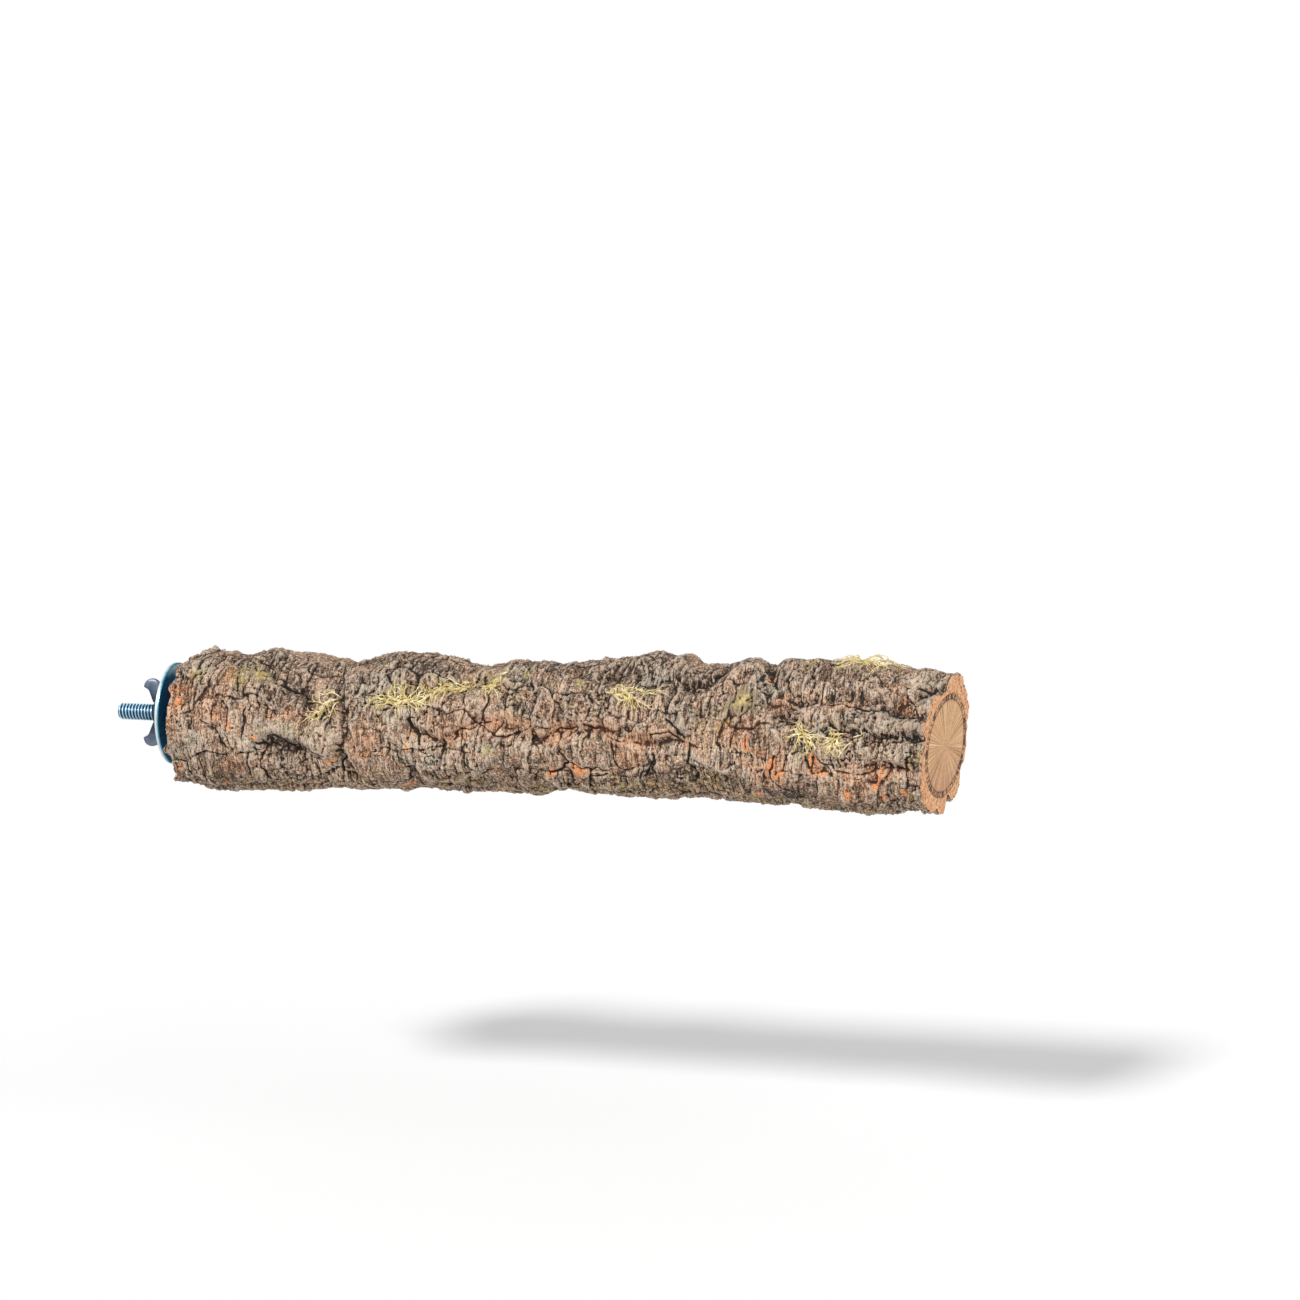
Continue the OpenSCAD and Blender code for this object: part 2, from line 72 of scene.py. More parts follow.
WOOD_R = (span("wood_core", 1)[1] - span("wood_core", 1)[0]) / 2
INNER_BARK_R = (span("inner_bark", 1)[1] - span("inner_bark", 1)[0]) / 2
BARK_R = INNER_BARK_R + CORK_T
GIRTH = 2 * math.pi * BARK_R
LOG_Z = sum(span("wood_core", 2)) / 2

# The log's length along its middle, from its near end at x = 0, and the depth of the washer's seat there
LOG_LENGTH = span("wood_core", 0)[1] - WOOD_R * math.hypot(math.tan(CUT_YAW), math.tan(CUT_LEAN))
SEAT_DEPTH = span("wood_core", 0)[0]

# Middle of the grip between the two washers
GRIP_X = span("outer_washer", 0)[1] / 2

# Points round the bark, steps along it, and the lengths that it is split into; then where the points lie
SIDES, STEPS, LENGTHS = 512, 960, 6
RING_ARC = np.arange(SIDES) / SIDES * GIRTH


# Numbers on arrays


def ease(u):
    """Goes from 0 to 1 as u does, flat at both ends: u * u * (3 - 2 * u)."""
    u = np.clip(u, 0, 1)
    return u * u * (3 - 2 * u)


def mix(a, b, share):
    """The value at that share of the way from a to b."""
    return a + (b - a) * share


def bell(distance, half_width, power=2):
    """Falls from 1 to 0 beside a line: exp(-(distance / half width) to a power), squared where none is
    given. A lower power makes it more pointed."""
    return np.exp(-((distance / half_width) ** power))


def circle(sides):
    """Evenly spread angles of a whole turn."""
    return 2 * math.pi * np.arange(sides) / sides


def scatter(i, j, k):
    """A scattered number from -1 to 1 that stays the same for the same three counts: twice the part
    behind the point of sin(12.9898 i + 78.233 j + 37.719 k degrees) * 43758.5453, less 1."""
    v = np.sin(np.radians(12.9898 * i + 78.233 * j + 37.719 * k)) * 43758.5453
    return 2 * (v - np.floor(v)) - 1


def noise(along, arc, cell, seed):
    """Smooth noise from -1 to 1: a scattered number at each corner of a net of cells, eased between the
    corners. The net is closed round the log, and cell is its mesh (along, round)."""
    columns = max(2, round(GIRTH / cell[1]))
    x, y = along / cell[0], arc / GIRTH * columns
    i, j = np.floor(x).astype(int), np.floor(y).astype(int)
    first = i.min()
    corner = scatter(np.arange(first, i.max() + 2)[:, None], np.arange(columns)[None, :], seed)
    u, v = ease(x - i), ease(y - j)
    i, j0, j1 = i - first, j % columns, (j + 1) % columns
    return mix(mix(corner[i, j0], corner[i + 1, j0], u), mix(corner[i, j1], corner[i + 1, j1], u), v)


def layered_noise(along, arc, cell, seed, layers=3):
    """Noise with finer noise on it: each layer has half the mesh and half the height of the one before."""
    total = 0
    for k in range(layers):
        total = total + noise(along, arc, (cell[0] / 2**k, cell[1] / 2**k), seed + k) / 2**k
    return total


def line_distance(along, arc, line):
    """Distance from each place to a line of places (along, arc), taken the shorter way round the log."""
    nearest = np.full(np.broadcast(along, arc).shape, np.inf)
    for (a0, c0), (a1, c1) in zip(line[:-1], line[1:]):
        near = arc - GIRTH * np.round((arc - c0) / GIRTH)
        da, dc = a1 - a0, c1 - c0 - GIRTH * round((c1 - c0) / GIRTH)
        u = np.clip(((along - a0) * da + (near - c0) * dc) / (da * da + dc * dc), 0, 1)
        nearest = np.minimum(nearest, np.hypot(along - a0 - u * da, near - c0 - u * dc))
    return nearest


def blur(height, reach):
    """Each value becomes the mean of those round it, weighted by a bell reach cells wide. It is worked out
    on the waves of the array, with both ends of the log repeated so that they don't run into each other."""
    pad = int(3 * reach) + 1
    wide = np.concatenate([np.repeat(height[:1], pad, 0), height, np.repeat(height[-1:], pad, 0)])
    fa = np.fft.fftfreq(wide.shape[0])[:, None]
    fc = np.fft.rfftfreq(wide.shape[1])[None, :]
    waves = np.fft.rfft2(wide) * np.exp(-2 * (math.pi * reach) ** 2 * (fa**2 + fc**2))
    return np.fft.irfft2(waves, s=wide.shape)[pad:-pad]


# The bark, as the CAD part has it


# Thickness of the cork as shares of its usual thickness: place along the log, then the top, the front,
# the underside and the back
COVER_SHARES = np.array([
    [0.00, 0.55, 1.20, 1.25, 0.80], [0.05, 0.86, 1.45, 1.55, 1.00], [0.08, 0.82, 1.35, 1.40, 1.10],
    [0.12, 1.28, 1.25, 1.28, 1.00], [0.16, 1.14, 0.95, 1.22, 0.75], [0.20, 0.78, 0.90, 1.12, 0.70],
    [0.23, 0.50, 1.06, 1.06, 0.90], [0.25, 0.96, 1.10, 1.04, 1.00], [0.29, 1.40, 1.15, 0.92, 1.20],
    [0.33, 1.32, 1.00, 0.82, 1.10], [0.36, 1.14, 1.05, 0.88, 0.85], [0.39, 0.68, 1.10, 0.85, 0.70],
    [0.46, 1.08, 1.05, 0.72, 0.95], [0.53, 0.98, 1.10, 0.46, 1.10], [0.58, 1.40, 1.15, 0.68, 0.90],
    [0.62, 1.84, 1.10, 0.86, 0.75], [0.66, 1.90, 0.95, 0.76, 0.80], [0.69, 1.16, 0.80, 0.46, 1.00],
    [0.76, 1.64, 0.95, 0.72, 1.10], [0.80, 1.70, 1.05, 0.78, 0.90], [0.86, 1.68, 1.15, 1.04, 0.80],
    [0.92, 1.60, 1.10, 1.28, 0.95], [0.96, 1.40, 0.90, 0.95, 0.75], [1.00, 1.30, 0.80, 1.14, 0.55],
])

# Broad furrows and ridges: height and half width as shares of the cork, then the line as shares of the
# log's length and of a turn
RELIEF_SHARES = [
    (-0.55, 0.75, [(0.13, 0.08), (0.17, 0.14), (0.22, 0.22)]),
    (0.38, 0.70, [(0.11, 0.30), (0.14, 0.24), (0.18, 0.25), (0.23, 0.28)]),
    (-0.50, 0.70, [(0.15, 0.29), (0.18, 0.30)]),
    (-0.45, 0.45, [(0.24, 0.17), (0.25, 0.24), (0.24, 0.30), (0.25, 0.38)]),
    (0.35, 1.00, [(0.02, 0.27), (0.05, 0.29), (0.07, 0.34)]),
    (-0.50, 0.60, [(0.30, 0.17), (0.36, 0.14), (0.42, 0.10)]),
    (0.30, 0.65, [(0.33, 0.29), (0.38, 0.33), (0.44, 0.29)]),
    (-0.50, 0.45, [(0.34, 0.24), (0.38, 0.26), (0.43, 0.21), (0.51, 0.25), (0.56, 0.21), (0.64, 0.245),
                   (0.69, 0.24)]),
    (-0.60, 0.70, [(0.59, 0.08), (0.65, 0.10), (0.71, 0.09), (0.72, 0.04)]),
    (-0.55, 0.50, [(0.773, 0.985), (0.785, 0.05), (0.80, 0.13), (0.84, 0.14), (0.88, 0.12), (0.99, 0.155)]),
    (-0.50, 0.50, [(0.82, 0.17), (0.90, 0.22), (0.99, 0.205)]),
    (0.35, 0.70, [(0.73, 0.27), (0.81, 0.31), (0.93, 0.36)]),
    (-0.40, 0.50, [(0.84, 0.23), (0.87, 0.285), (0.99, 0.28)]),
    (-0.45, 0.60, [(0.00, 0.46), (0.12, 0.43), (0.30, 0.47), (0.46, 0.42), (0.60, 0.46), (0.78, 0.43),
                   (1.00, 0.47)]),
    (-0.55, 0.55, [(0.00, 0.63), (0.16, 0.60), (0.34, 0.66), (0.50, 0.61), (0.70, 0.67), (0.86, 0.62),
                   (1.00, 0.66)]),
    (0.35, 0.80, [(0.10, 0.54), (0.26, 0.56), (0.48, 0.53)]),
    (-0.50, 0.60, [(0.04, 0.80), (0.20, 0.76), (0.40, 0.82), (0.58, 0.77), (0.80, 0.83), (1.00, 0.78)]),
    (0.30, 0.80, [(0.52, 0.72), (0.66, 0.74), (0.84, 0.71)]),
    (-0.45, 0.55, [(0.02, 0.93), (0.22, 0.90), (0.36, 0.95), (0.54, 0.90), (0.74, 0.94), (0.96, 0.89)]),
    (-1.10, 0.80, [(0.965, 0.12), (0.985, 0.07), (1.01, 0.036)]),
    (0.50, 0.50, [(0.97, 0.185), (1.01, 0.187)]),
    (-0.40, 0.80, [(0.985, 0.235), (1.01, 0.235)]),
    (-0.80, 0.45, [(0.98, 0.545), (1.01, 0.545)]),
    (-0.45, 1.20, [(0.975, 0.73), (1.01, 0.73)]),
]


# Plates and flakes, as shares of the cork where they are lengths: width and length of a plate, its own
# height and its leans along and across, then the flakes' mesh and height, a layer of them and its edge
PLATE_SHARES, PLATE_RISE_SHARES = (2.5, 1.08), (0.07, 0.12, 0.09)
FLAKE_SHARES, FLAKE_RISE_SHARE, FLAKE_LAYER_SHARE, FLAKE_EDGE_SHARE = (1.0, 1.5), 0.13, 0.34, 0.22
# Mesh and reach of the bends of both, along and round the log
BEND_SHARES, BEND_REACH_SHARES = [(0.83, 1.0), (1.0, 0.83)], (0.22, 0.30)


def bent(along, arc):
    """The place moved along and round the log by two noises, so that what is drawn there winds."""
    moved = []
    for k, place in enumerate((along, arc)):
        mesh = (BEND_SHARES[k][0] * CORK_T, BEND_SHARES[k][1] * CORK_T)
        moved.append(place + BEND_REACH_SHARES[k] * CORK_T * layered_noise(along, arc, mesh, 10 + 10 * k))
    return moved


def plates(along, arc, width, length, rise, seed):
    """Bark plates: strips that wind along the log, width wide, cut across into plates length long. Gives
    the distances to the nearest crack along the strips and across them, the strength of both, and the
    height of the plate, which stands and leans by scattered numbers."""
    strips = round(GIRTH / width)
    wind = 0.45 * width * layered_noise(along, arc, (2.2 * width, 1.8 * width), seed)
    t = (arc + wind) / GIRTH * strips
    strip = np.floor(t).astype(int)
    across = t - strip
    strip = strip % strips
    bow = 0.35 * (2 * across - 1) ** 2 * scatter(strip, 0, seed + 10)
    shift = 0.6 * noise(along, arc, (2 * length, 1.2 * width), seed + 20)
    u = along / length + shift + bow + scatter(strip, 0, seed + 30)
    row = np.floor(u).astype(int)
    part = u - row
    height = rise[0] * scatter(strip, row, seed + 40)
    height = height + rise[1] * scatter(strip, row, seed + 50) * (part - 0.5)
    height = height + rise[2] * scatter(strip, row, seed + 60) * (across - 0.5)
    border = (strip + (across > 0.5)) % strips
    side = np.minimum(across, 1 - across) * width
    side_strength = 0.35 + 0.65 * ease(0.5 + noise(along, border * width, (2.5 * length, width), seed + 70))
    cross = np.minimum(part, 1 - part) * length
    cross_strength = (0.5 + 0.5 * scatter(strip, row + (part > 0.5), seed + 80)) ** 1.2
    return side, side_strength, cross, cross_strength, height


def flakes(along, arc):
    """Flakes in layers: noise in steps, each with a short cliff."""
    level = layered_noise(along, arc, (FLAKE_SHARES[0] * CORK_T, FLAKE_SHARES[1] * CORK_T), 30)
    level = level / FLAKE_LAYER_SHARE
    base = np.floor(level)
    edge = ease((level - base - 1 + FLAKE_EDGE_SHARE) / FLAKE_EDGE_SHARE)
    return FLAKE_RISE_SHARE * CORK_T * FLAKE_LAYER_SHARE * (base + edge)


def big_plates(along, arc):
    """The plates that the part has too."""
    width, length = (CORK_T * share for share in PLATE_SHARES)
    return plates(along, arc, width, length, [CORK_T * share for share in PLATE_RISE_SHARES], 40)


# On the front the broad lines wind by this much more than the part's, and are this share weaker, which
# fades out over the last stretch before the saw cut
FRONT_WIND, FRONT_WEAKER_SHARE, FRONT_FADE_OUT = 2.2, 0.2, 15.0


def cork_cover(along, arc):
    """Thickness of the cork: the four quarters' thicknesses, eased from row to row along the log and
    blended round it with the squares of their cosines, plus each broad line's bell, plates and flakes."""
    s, turn = along / LOG_LENGTH, arc / GIRTH
    places = COVER_SHARES[:, 0]
    row = np.clip(np.searchsorted(places, s, side="right") - 1, 0, len(places) - 2)
    u = ease((s - places[row]) / (places[row + 1] - places[row]))
    total = 0
    for k in range(4):
        weight = np.maximum(0, np.cos(2 * math.pi * turn - math.pi / 2 * k)) ** 2
        total = total + weight * mix(COVER_SHARES[row, k + 1], COVER_SHARES[row + 1, k + 1], u)
    front = np.maximum(0, np.sin(arc / BARK_R)) * ease((LOG_LENGTH - along) / FRONT_FADE_OUT)
    wind = FRONT_WIND * front * layered_noise(along, arc, (9, 11), 320)
    strength = 1 + front * (0.30 * layered_noise(along, arc, (7, 9), 330) - FRONT_WEAKER_SHARE)
    for height, half_width, line in RELIEF_SHARES:
        flat = [(a * LOG_LENGTH, t * GIRTH) for a, t in line]
        away = line_distance(along, arc + wind, flat)
        total = total + strength * height * bell(away, half_width * CORK_T)
    a, c = bent(along, arc)
    return np.maximum(THIN_SHARE * CORK_T, CORK_T * total + big_plates(a, c)[-1] + flakes(a, c))


def cut_x(y, z):
    """Where the saw cut crosses a line along the log."""
    return LOG_LENGTH + math.tan(CUT_YAW) * y + math.tan(CUT_LEAN) * z


def log_place(along, arc, lift):
    """The point at that height over the inner bark: y and z turn round the middle of the wood, and x runs
    from the near end, at 0, to the slanting saw cut."""
    angle = arc / BARK_R
    y, z = -(INNER_BARK_R + lift) * np.sin(angle), (INNER_BARK_R + lift) * np.cos(angle)
    return np.stack([along / LOG_LENGTH * cut_x(y, z), y, LOG_Z + z], -1)


def traced(points):
    """Places (along, arc) of points given as millimetres from the middle of the grip between the washers,
    and degrees from the top over the front."""
    line = []
    for x, degrees in points:
        angle = math.radians(degrees)
        cut = cut_x(-BARK_R * math.sin(angle), BARK_R * math.cos(angle))
        line.append(((x + GRIP_X) / cut * LOG_LENGTH, angle * BARK_R))
    return line


# The bark's fine relief


# The long fissure along the front, whose walls are young and orange: points as x and degrees
FISSURE = [(98, 88), (104, 90), (112, 93), (115, 83), (124, 76), (133, 74), (138, 76), (142, 82), (148, 88),
           (153, 77), (161, 77), (170, 81), (175, 89), (186, 88), (192, 78), (199, 87), (207, 92)]

# Sharp cracks: depth, half width, then points as above
CRACKS = [
    (0.95, 0.36, FISSURE),
    (1.3, 0.50, [(71, 67), (73, 85), (71, 103), (71, 116), (69, 133)]),
    (0.9, 0.40, [(186, 86), (187, 102), (185, 120)]),
    (1.6, 0.90, [(198, 33), (203, 25), (208, 14)]),
    (0.8, 0.50, [(227, 14), (229, 30), (231, 46), (237, 53), (242, 51), (253, 46), (261, 53), (281, 56)]),
    (0.6, 0.45, [(237, 61), (247, 67), (259, 78), (269, 79), (285, 74)]),
    (0.7, 0.45, [(243, 84), (249, 102), (266, 107), (276, 105), (285, 99)]),
    (1.0, 0.50, [(38, 115), (46, 114), (53, 111), (62, 110), (70, 111)]),
    (1.2, 0.60, [(39, 34), (47, 48), (53, 57), (59, 71), (63, 78)]),
    (0.9, 0.50, [(90, 27), (86, 40), (91, 48), (104, 44), (115, 30)]),
    (1.2, 0.55, [(33, 58), (36, 72), (33, 90), (36, 99), (40, 104)]),
    (1.0, 0.50, [(19, 84), (25, 101), (31, 112), (40, 112)]),
    (1.2, 0.60, [(97, 78), (100, 92), (101, 104), (98, 118)]),
    (1.0, 0.50, [(142, 84), (146, 102), (149, 118), (160, 124), (171, 118)]),
    (1.1, 0.60, [(191, 70), (201, 84), (199, 104), (203, 124)]),
    (0.9, 0.45, [(232, 92), (231, 112), (238, 128)]),
    (1.2, 0.60, [(273, 28), (279, 22), (286, 15)]),
]

# Share of a crack's depth that is left where it is broken up, and of the fissure's, and the dip's half width
CRACK_WHOLE, FISSURE_WHOLE, CRACK_DIP = 0.35, 0.05, 2.6

# Smooth ridges of overgrown scars, hardly cracked: height, half width, then points as above
SCARS = [
    (0.9, 1.7, [(97, 112), (100, 122), (103, 130), (108, 134), (113, 132), (119, 122), (124, 114),
                (128, 106)]),
    (0.8, 2.3, [(205, 96), (209, 100), (215, 106), (221, 112), (226, 118), (233, 126), (239, 137),
                (246, 145)]),
    (0.8, 2.2, [(39, 86), (45, 88), (52, 92), (57, 96), (62, 102), (66, 110)]),
    (1.0, 1.0, [(218, 20), (222, 18), (226, 24), (228, 34), (230, 46), (235, 51), (242, 52)]),
    (0.7, 1.6, [(150, 138), (158, 143), (168, 140), (177, 132), (182, 124)]),
    (0.8, 2.0, [(20, 232), (34, 226), (52, 230)]),
    (0.9, 2.4, [(120, 262), (138, 270), (158, 266)]),
    (0.8, 2.0, [(210, 300), (228, 306), (240, 318)]),
]

# Lumps: height in millimetres, then x, degrees, half length and half width
LUMPS = [(2.6, 9, -14, 4.5, 4.0), (1.3, 9, 36, 4.0, 4.0), (1.0, 222, 40, 5.0, 4.5), (-0.9, 41, 40, 3.0, 3.0)]

# Small plates: width, length, then their own height and its leans along and across
SMALL_PLATES = (10.5, 3.6, (0.16, 0.36, 0.18))

# Creases round the log, finer ones between them, some along the log, and a net of them: the mesh of the
# noise that draws them, their width as a share of its height, and their seed
CREASES = {
    "round": ((1.9, 12.0), 0.10, 500),
    "fine": ((1.1, 9.0), 0.16, 510),
    "long": ((11.0, 1.7), 0.14, 530),
    "net": ((2.2, 3.6), 0.12, 520),
}

# Depth of the places where the bark has broken open
FRESH_DEPTH = 0.35

# Tints of the bark by place: x and degrees as above, half length and half width in millimetres. Pale and
# olive crusts, dark weathered cork, warm younger cork, fresh orange where the bark has broken open, and
# small yellow crusts.
TINTS = {}
TINTS["pale"] = [
    (14, 35, 5, 4), (15, 104, 5, 6), (6, 108, 4, 4), (35, 108, 4, 5), (42, 96, 5, 3), (49, 90, 8, 2.5),
    (63, 92, 4, 3), (84, 50, 9, 6), (92, 74, 5, 3), (134, 30, 5, 7), (126, 97, 3, 2.5),
    (103, 112, 6, 3), (184, 34, 6, 4), (197, 66, 5, 5), (226, 38, 5, 4), (247, 70, 4, 3),
    (261, 87, 4, 4), (278, 79, 6, 4), (282, 14, 4, 6), (218, -8, 5, 4), (271, 59, 4, 4),
    (30, 190, 9, 6), (95, 215, 11, 7), (160, 196, 9, 9), (230, 222, 13, 7), (60, 262, 10, 8),
    (120, 290, 8, 10), (190, 268, 12, 8), (262, 300, 10, 9), (215, 330, 9, 7), (40, 318, 8, 7),
]
TINTS["olive"] = [
    (30, 43, 6, 5), (12, 44, 4, 4), (50, 88, 8, 2), (103, 46, 14, 6), (125, 39, 5, 5), (134, 54, 4, 6),
    (180, 138, 16, 6), (112, 136, 12, 5), (212, 64, 6, 5), (270, 82, 4, 4), (205, 128, 9, 6),
    (282, 87, 4, 6), (74, 142, 8, 5), (40, 160, 14, 8), (150, 165, 18, 8), (240, 160, 20, 8),
    (90, 240, 14, 9), (200, 235, 15, 9), (20, 250, 9, 9), (270, 250, 12, 9),
]
TINTS["dark"] = [
    (38, 34, 4, 5), (45, 56, 4, 5), (48, 104, 5, 5), (54, 62, 5, 6), (84, 14, 9, 7), (107, -8, 8, 7),
    (140, 14, 6, 6), (178, 24, 11, 5), (200, 32, 5, 8), (207, 14, 5, 8), (185, 112, 2, 6),
    (196, 116, 4, 5), (210, 58, 4, 3), (236, 60, 5, 3), (259, 62, 5, 3), (282, 64, 4, 4),
    (237, 128, 6, 4), (288, 20, 4, 7), (15, 156, 6, 6), (8, 12, 7, 8), (170, -12, 16, 8),
    (245, -14, 20, 9), (130, 200, 14, 7), (70, 200, 10, 7), (250, 200, 12, 8), (110, 320, 13, 9),
]
TINTS["warm"] = [
    (5, 72, 5, 9), (20, 75, 8, 7), (26, 44, 5, 4), (79, 100, 7, 6), (51, 76, 5, 5), (31, 119, 6, 4),
    (9, 60, 4, 7),
    (115, 80, 9, 5), (132, 78, 8, 5), (153, 83, 9, 5), (181, 92, 7, 7), (170, 78, 9, 3),
    (219, 74, 8, 6), (255, 50, 7, 3), (232, 50, 5, 3), (209, 32, 6, 2), (272, 40, 6, 4),
    (266, 112, 12, 6), (228, 104, 8, 7), (50, 285, 9, 6), (150, 250, 12, 6), (225, 290, 11, 6),
]
TINTS["fresh"] = [
    (39, 46, 2.4, 1.7), (6, 58, 1.0, 1.2), (3, 64, 0.8, 1.4), (6, 73, 1.7, 1.9), (3, 80, 0.8, 0.8),
    (66, 118, 1.9, 1.2), (28, 87, 0.9, 1.6), (44, 81, 1.2, 0.7), (38, 98, 1.0, 0.8), (21, 150, 2.2, 1.6),
    (6, 128, 1.2, 0.9), (150, 116, 1.6, 3.0),
    (160, 116, 3.4, 2.2), (97, 100, 0.7, 1.8), (109, 129, 1.8, 0.7), (92, 150, 2.2, 1.2),
    (87, -8, 3.0, 1.0), (133, 0, 7.0, 0.8), (192, -8, 2.2, 1.6), (222, 89, 0.9, 1.7), (231, 98, 1.5, 3.4),
    (235, 107, 1.8, 1.6), (245, 100, 1.8, 2.6), (247, 110, 1.6, 1.8), (257, 121, 0.8, 2.6),
    (261, 114, 1.5, 0.8), (268, 114, 1.3, 2.0), (270, 132, 1.5, 1.2), (224, 133, 2.0, 1.2),
    (278, 125, 1.2, 0.8), (228, 24, 0.9, 1.8), (35, 225, 2.0, 1.4), (120, 232, 1.4, 2.4),
    (205, 250, 2.0, 1.2), (255, 232, 1.4, 2.2), (75, 305, 1.8, 1.3), (180, 310, 1.3, 2.2),
]
TINTS["yellow"] = [
    (31, 44, 3.4, 3.6), (12, 40, 1.6, 2.0), (125, 34, 2.6, 3.0), (138, 30, 1.4, 2.2), (175, 48, 3.0, 2.4),
    (127, 98, 2.0, 1.4), (159, 39, 1.5, 2.0), (240, 12, 2.2, 2.6), (252, 8, 2.6, 3.0), (85, 62, 4.0, 2.4),
    (60, 205, 3.0, 4.0), (140, 300, 3.6, 3.0), (220, 240, 2.8, 3.4),
]


def creases(along, arc, cell, width, seed):
    """Thin winding lines, from 0 to 1: a bell on the places where a layered noise changes its sign."""
    return bell(layered_noise(along, arc, cell, seed, 2), width)


def spots(along, arc, places, edge):
    """Blots at places (x, degrees, half length, half width), from 0 to 1: 1 minus the distance from the
    middle as a share of the blot's own size, made ragged by the numbers in edge."""
    total = np.zeros(np.broadcast(along, arc).shape)
    for x, degrees, half_length, half_width in places:
        ((a, c),) = traced([(x, degrees)])
        beside = (arc - c + GIRTH / 2) % GIRTH - GIRTH / 2
        away = np.hypot((along - a) / half_length, beside / half_width)
        total = np.maximum(total, ease(1.5 - away + 0.5 * edge))
    return total


def plate_cracks(parts, depths):
    """Depth of the cracks between plates: a sharp valley along the strips and one across them, each wider
    and deeper where the crack is strong."""
    side, side_strength, cross, cross_strength, _ = parts
    lengthways = side_strength * bell(side, 0.20 + 0.28 * side_strength, 1.2)
    crossways = cross_strength * bell(cross, 0.18 + 0.26 * cross_strength, 1.2)
    return depths[0] * lengthways + depths[1] * crossways


def scars(a, c):
    """How smooth the overgrown scars make the bark, from 0 to 1, and the height of their ridges."""
    smooth, ridges = 0, 0
    for height, half_width, line in SCARS:
        away = line_distance(a, c, traced(line))
        smooth = np.maximum(smooth, bell(away, half_width))
        ridges = ridges + height * bell(away, 1.2 * half_width)
    return smooth, ridges


def sharp_cracks(a, c, along, arc):
    """Depth of the drawn cracks: each is a sharp valley in a wide shallow dip. A noise breaks up the
    valleys, the fissure's most of all."""
    breaks = ease(0.5 + 1.8 * noise(along, arc, (3.5, 5), 620))
    total = 0
    for depth, half_width, line in CRACKS:
        away = line_distance(a, c, traced(line))
        broken = mix(FISSURE_WHOLE if line is FISSURE else CRACK_WHOLE, 1, breaks)
        total = total + depth * (1.2 * broken * bell(away, half_width) + 0.3 * bell(away, CRACK_DIP))
    return total


def bark_relief(along, arc):
    """Fine relief of the bark in millimetres, and the numbers that its finish reads. The relief is the sum
    of the small plates, the cracks between big and small ones, scars, lumps, creases round and along the
    log, crumbs, pits, the sharp cracks and the fresh places. Cracks are faint where the bark is firm, and
    fainter on the scars. Crumbs, pits and a net of creases are strong where it is rough, and the top is
    darker from the weather."""
    a, c = bent(along, arc)
    half_a, half_c = mix(along, a, 0.5), mix(arc, c, 0.5)
    crumbs = layered_noise(along, arc, (1.5, 1.6), 600, 2)
    cloud = layered_noise(a, c, (15, 12), 410)
    smooth, ridges = scars(a, c)
    top, under = np.cos(arc / BARK_R).clip(0), (-np.cos(arc / BARK_R)).clip(0)

    numbers = {name: spots(a, c, places, crumbs) for name, places in TINTS.items()}
    numbers["dark"] = np.maximum(numbers["dark"], 0.95 * top * ease(0.65 + cloud))
    lined = ease(0.5 + 1.3 * layered_noise(a, c, (16, 12), 420))
    firm = ease(0.50 + 1.5 * layered_noise(a, c, (18, 12), 430))
    rough = np.maximum(ease(0.30 + 1.5 * cloud + 0.5 * under), numbers["dark"])
    rough = rough * (1 - 0.7 * numbers["warm"]) * (1 - smooth)
    flat = 1 - 0.8 * smooth

    big, small = big_plates(a, c), plates(half_a, half_c, *SMALL_PLATES, 200)
    relief = small[-1] * (1 - 0.5 * firm) * (1 - smooth) + ridges
    for height, *place in LUMPS:
        relief += height * spots(along, arc, [place], 0.5 * crumbs)
    cracked = (1 - 0.62 * firm) * (1 - 0.85 * smooth)
    relief -= cracked * (plate_cracks(big, (1.1, 1.2)) + plate_cracks(small, (0.40, 0.80)))
    lines = {name: creases(half_a, half_c, *look) for name, look in CREASES.items()}
    relief -= (0.06 + 0.26 * lined) * flat * lines["round"]
    relief -= (0.03 + 0.09 * lined) * flat * lines["fine"]
    relief -= 0.20 * (1 - rough) * lines["long"]
    relief -= 0.50 * rough * lines["net"]
    relief += (0.05 + 0.30 * rough) * crumbs
    relief -= (0.15 + 0.60 * rough) * ease((noise(along, arc, (1.0, 1.0), 610) - 0.58) / 0.25)
    relief -= sharp_cracks(a, c, along, arc) + FRESH_DEPTH * numbers["fresh"]

    walls = bell(line_distance(a, c, traced(FISSURE)), 1.9 + 1.1 * crumbs.clip(-1, 1))
    numbers.update(scar=smooth, lined=np.maximum(lined, numbers["warm"]), under=ease(1.4 * under - 0.1),
                   tone=(0.6 * big[-1] + 1.2 * small[-1]) * (1 - 0.5 * firm), wall=walls)
    return relief - relief.mean(), numbers


# Meshes


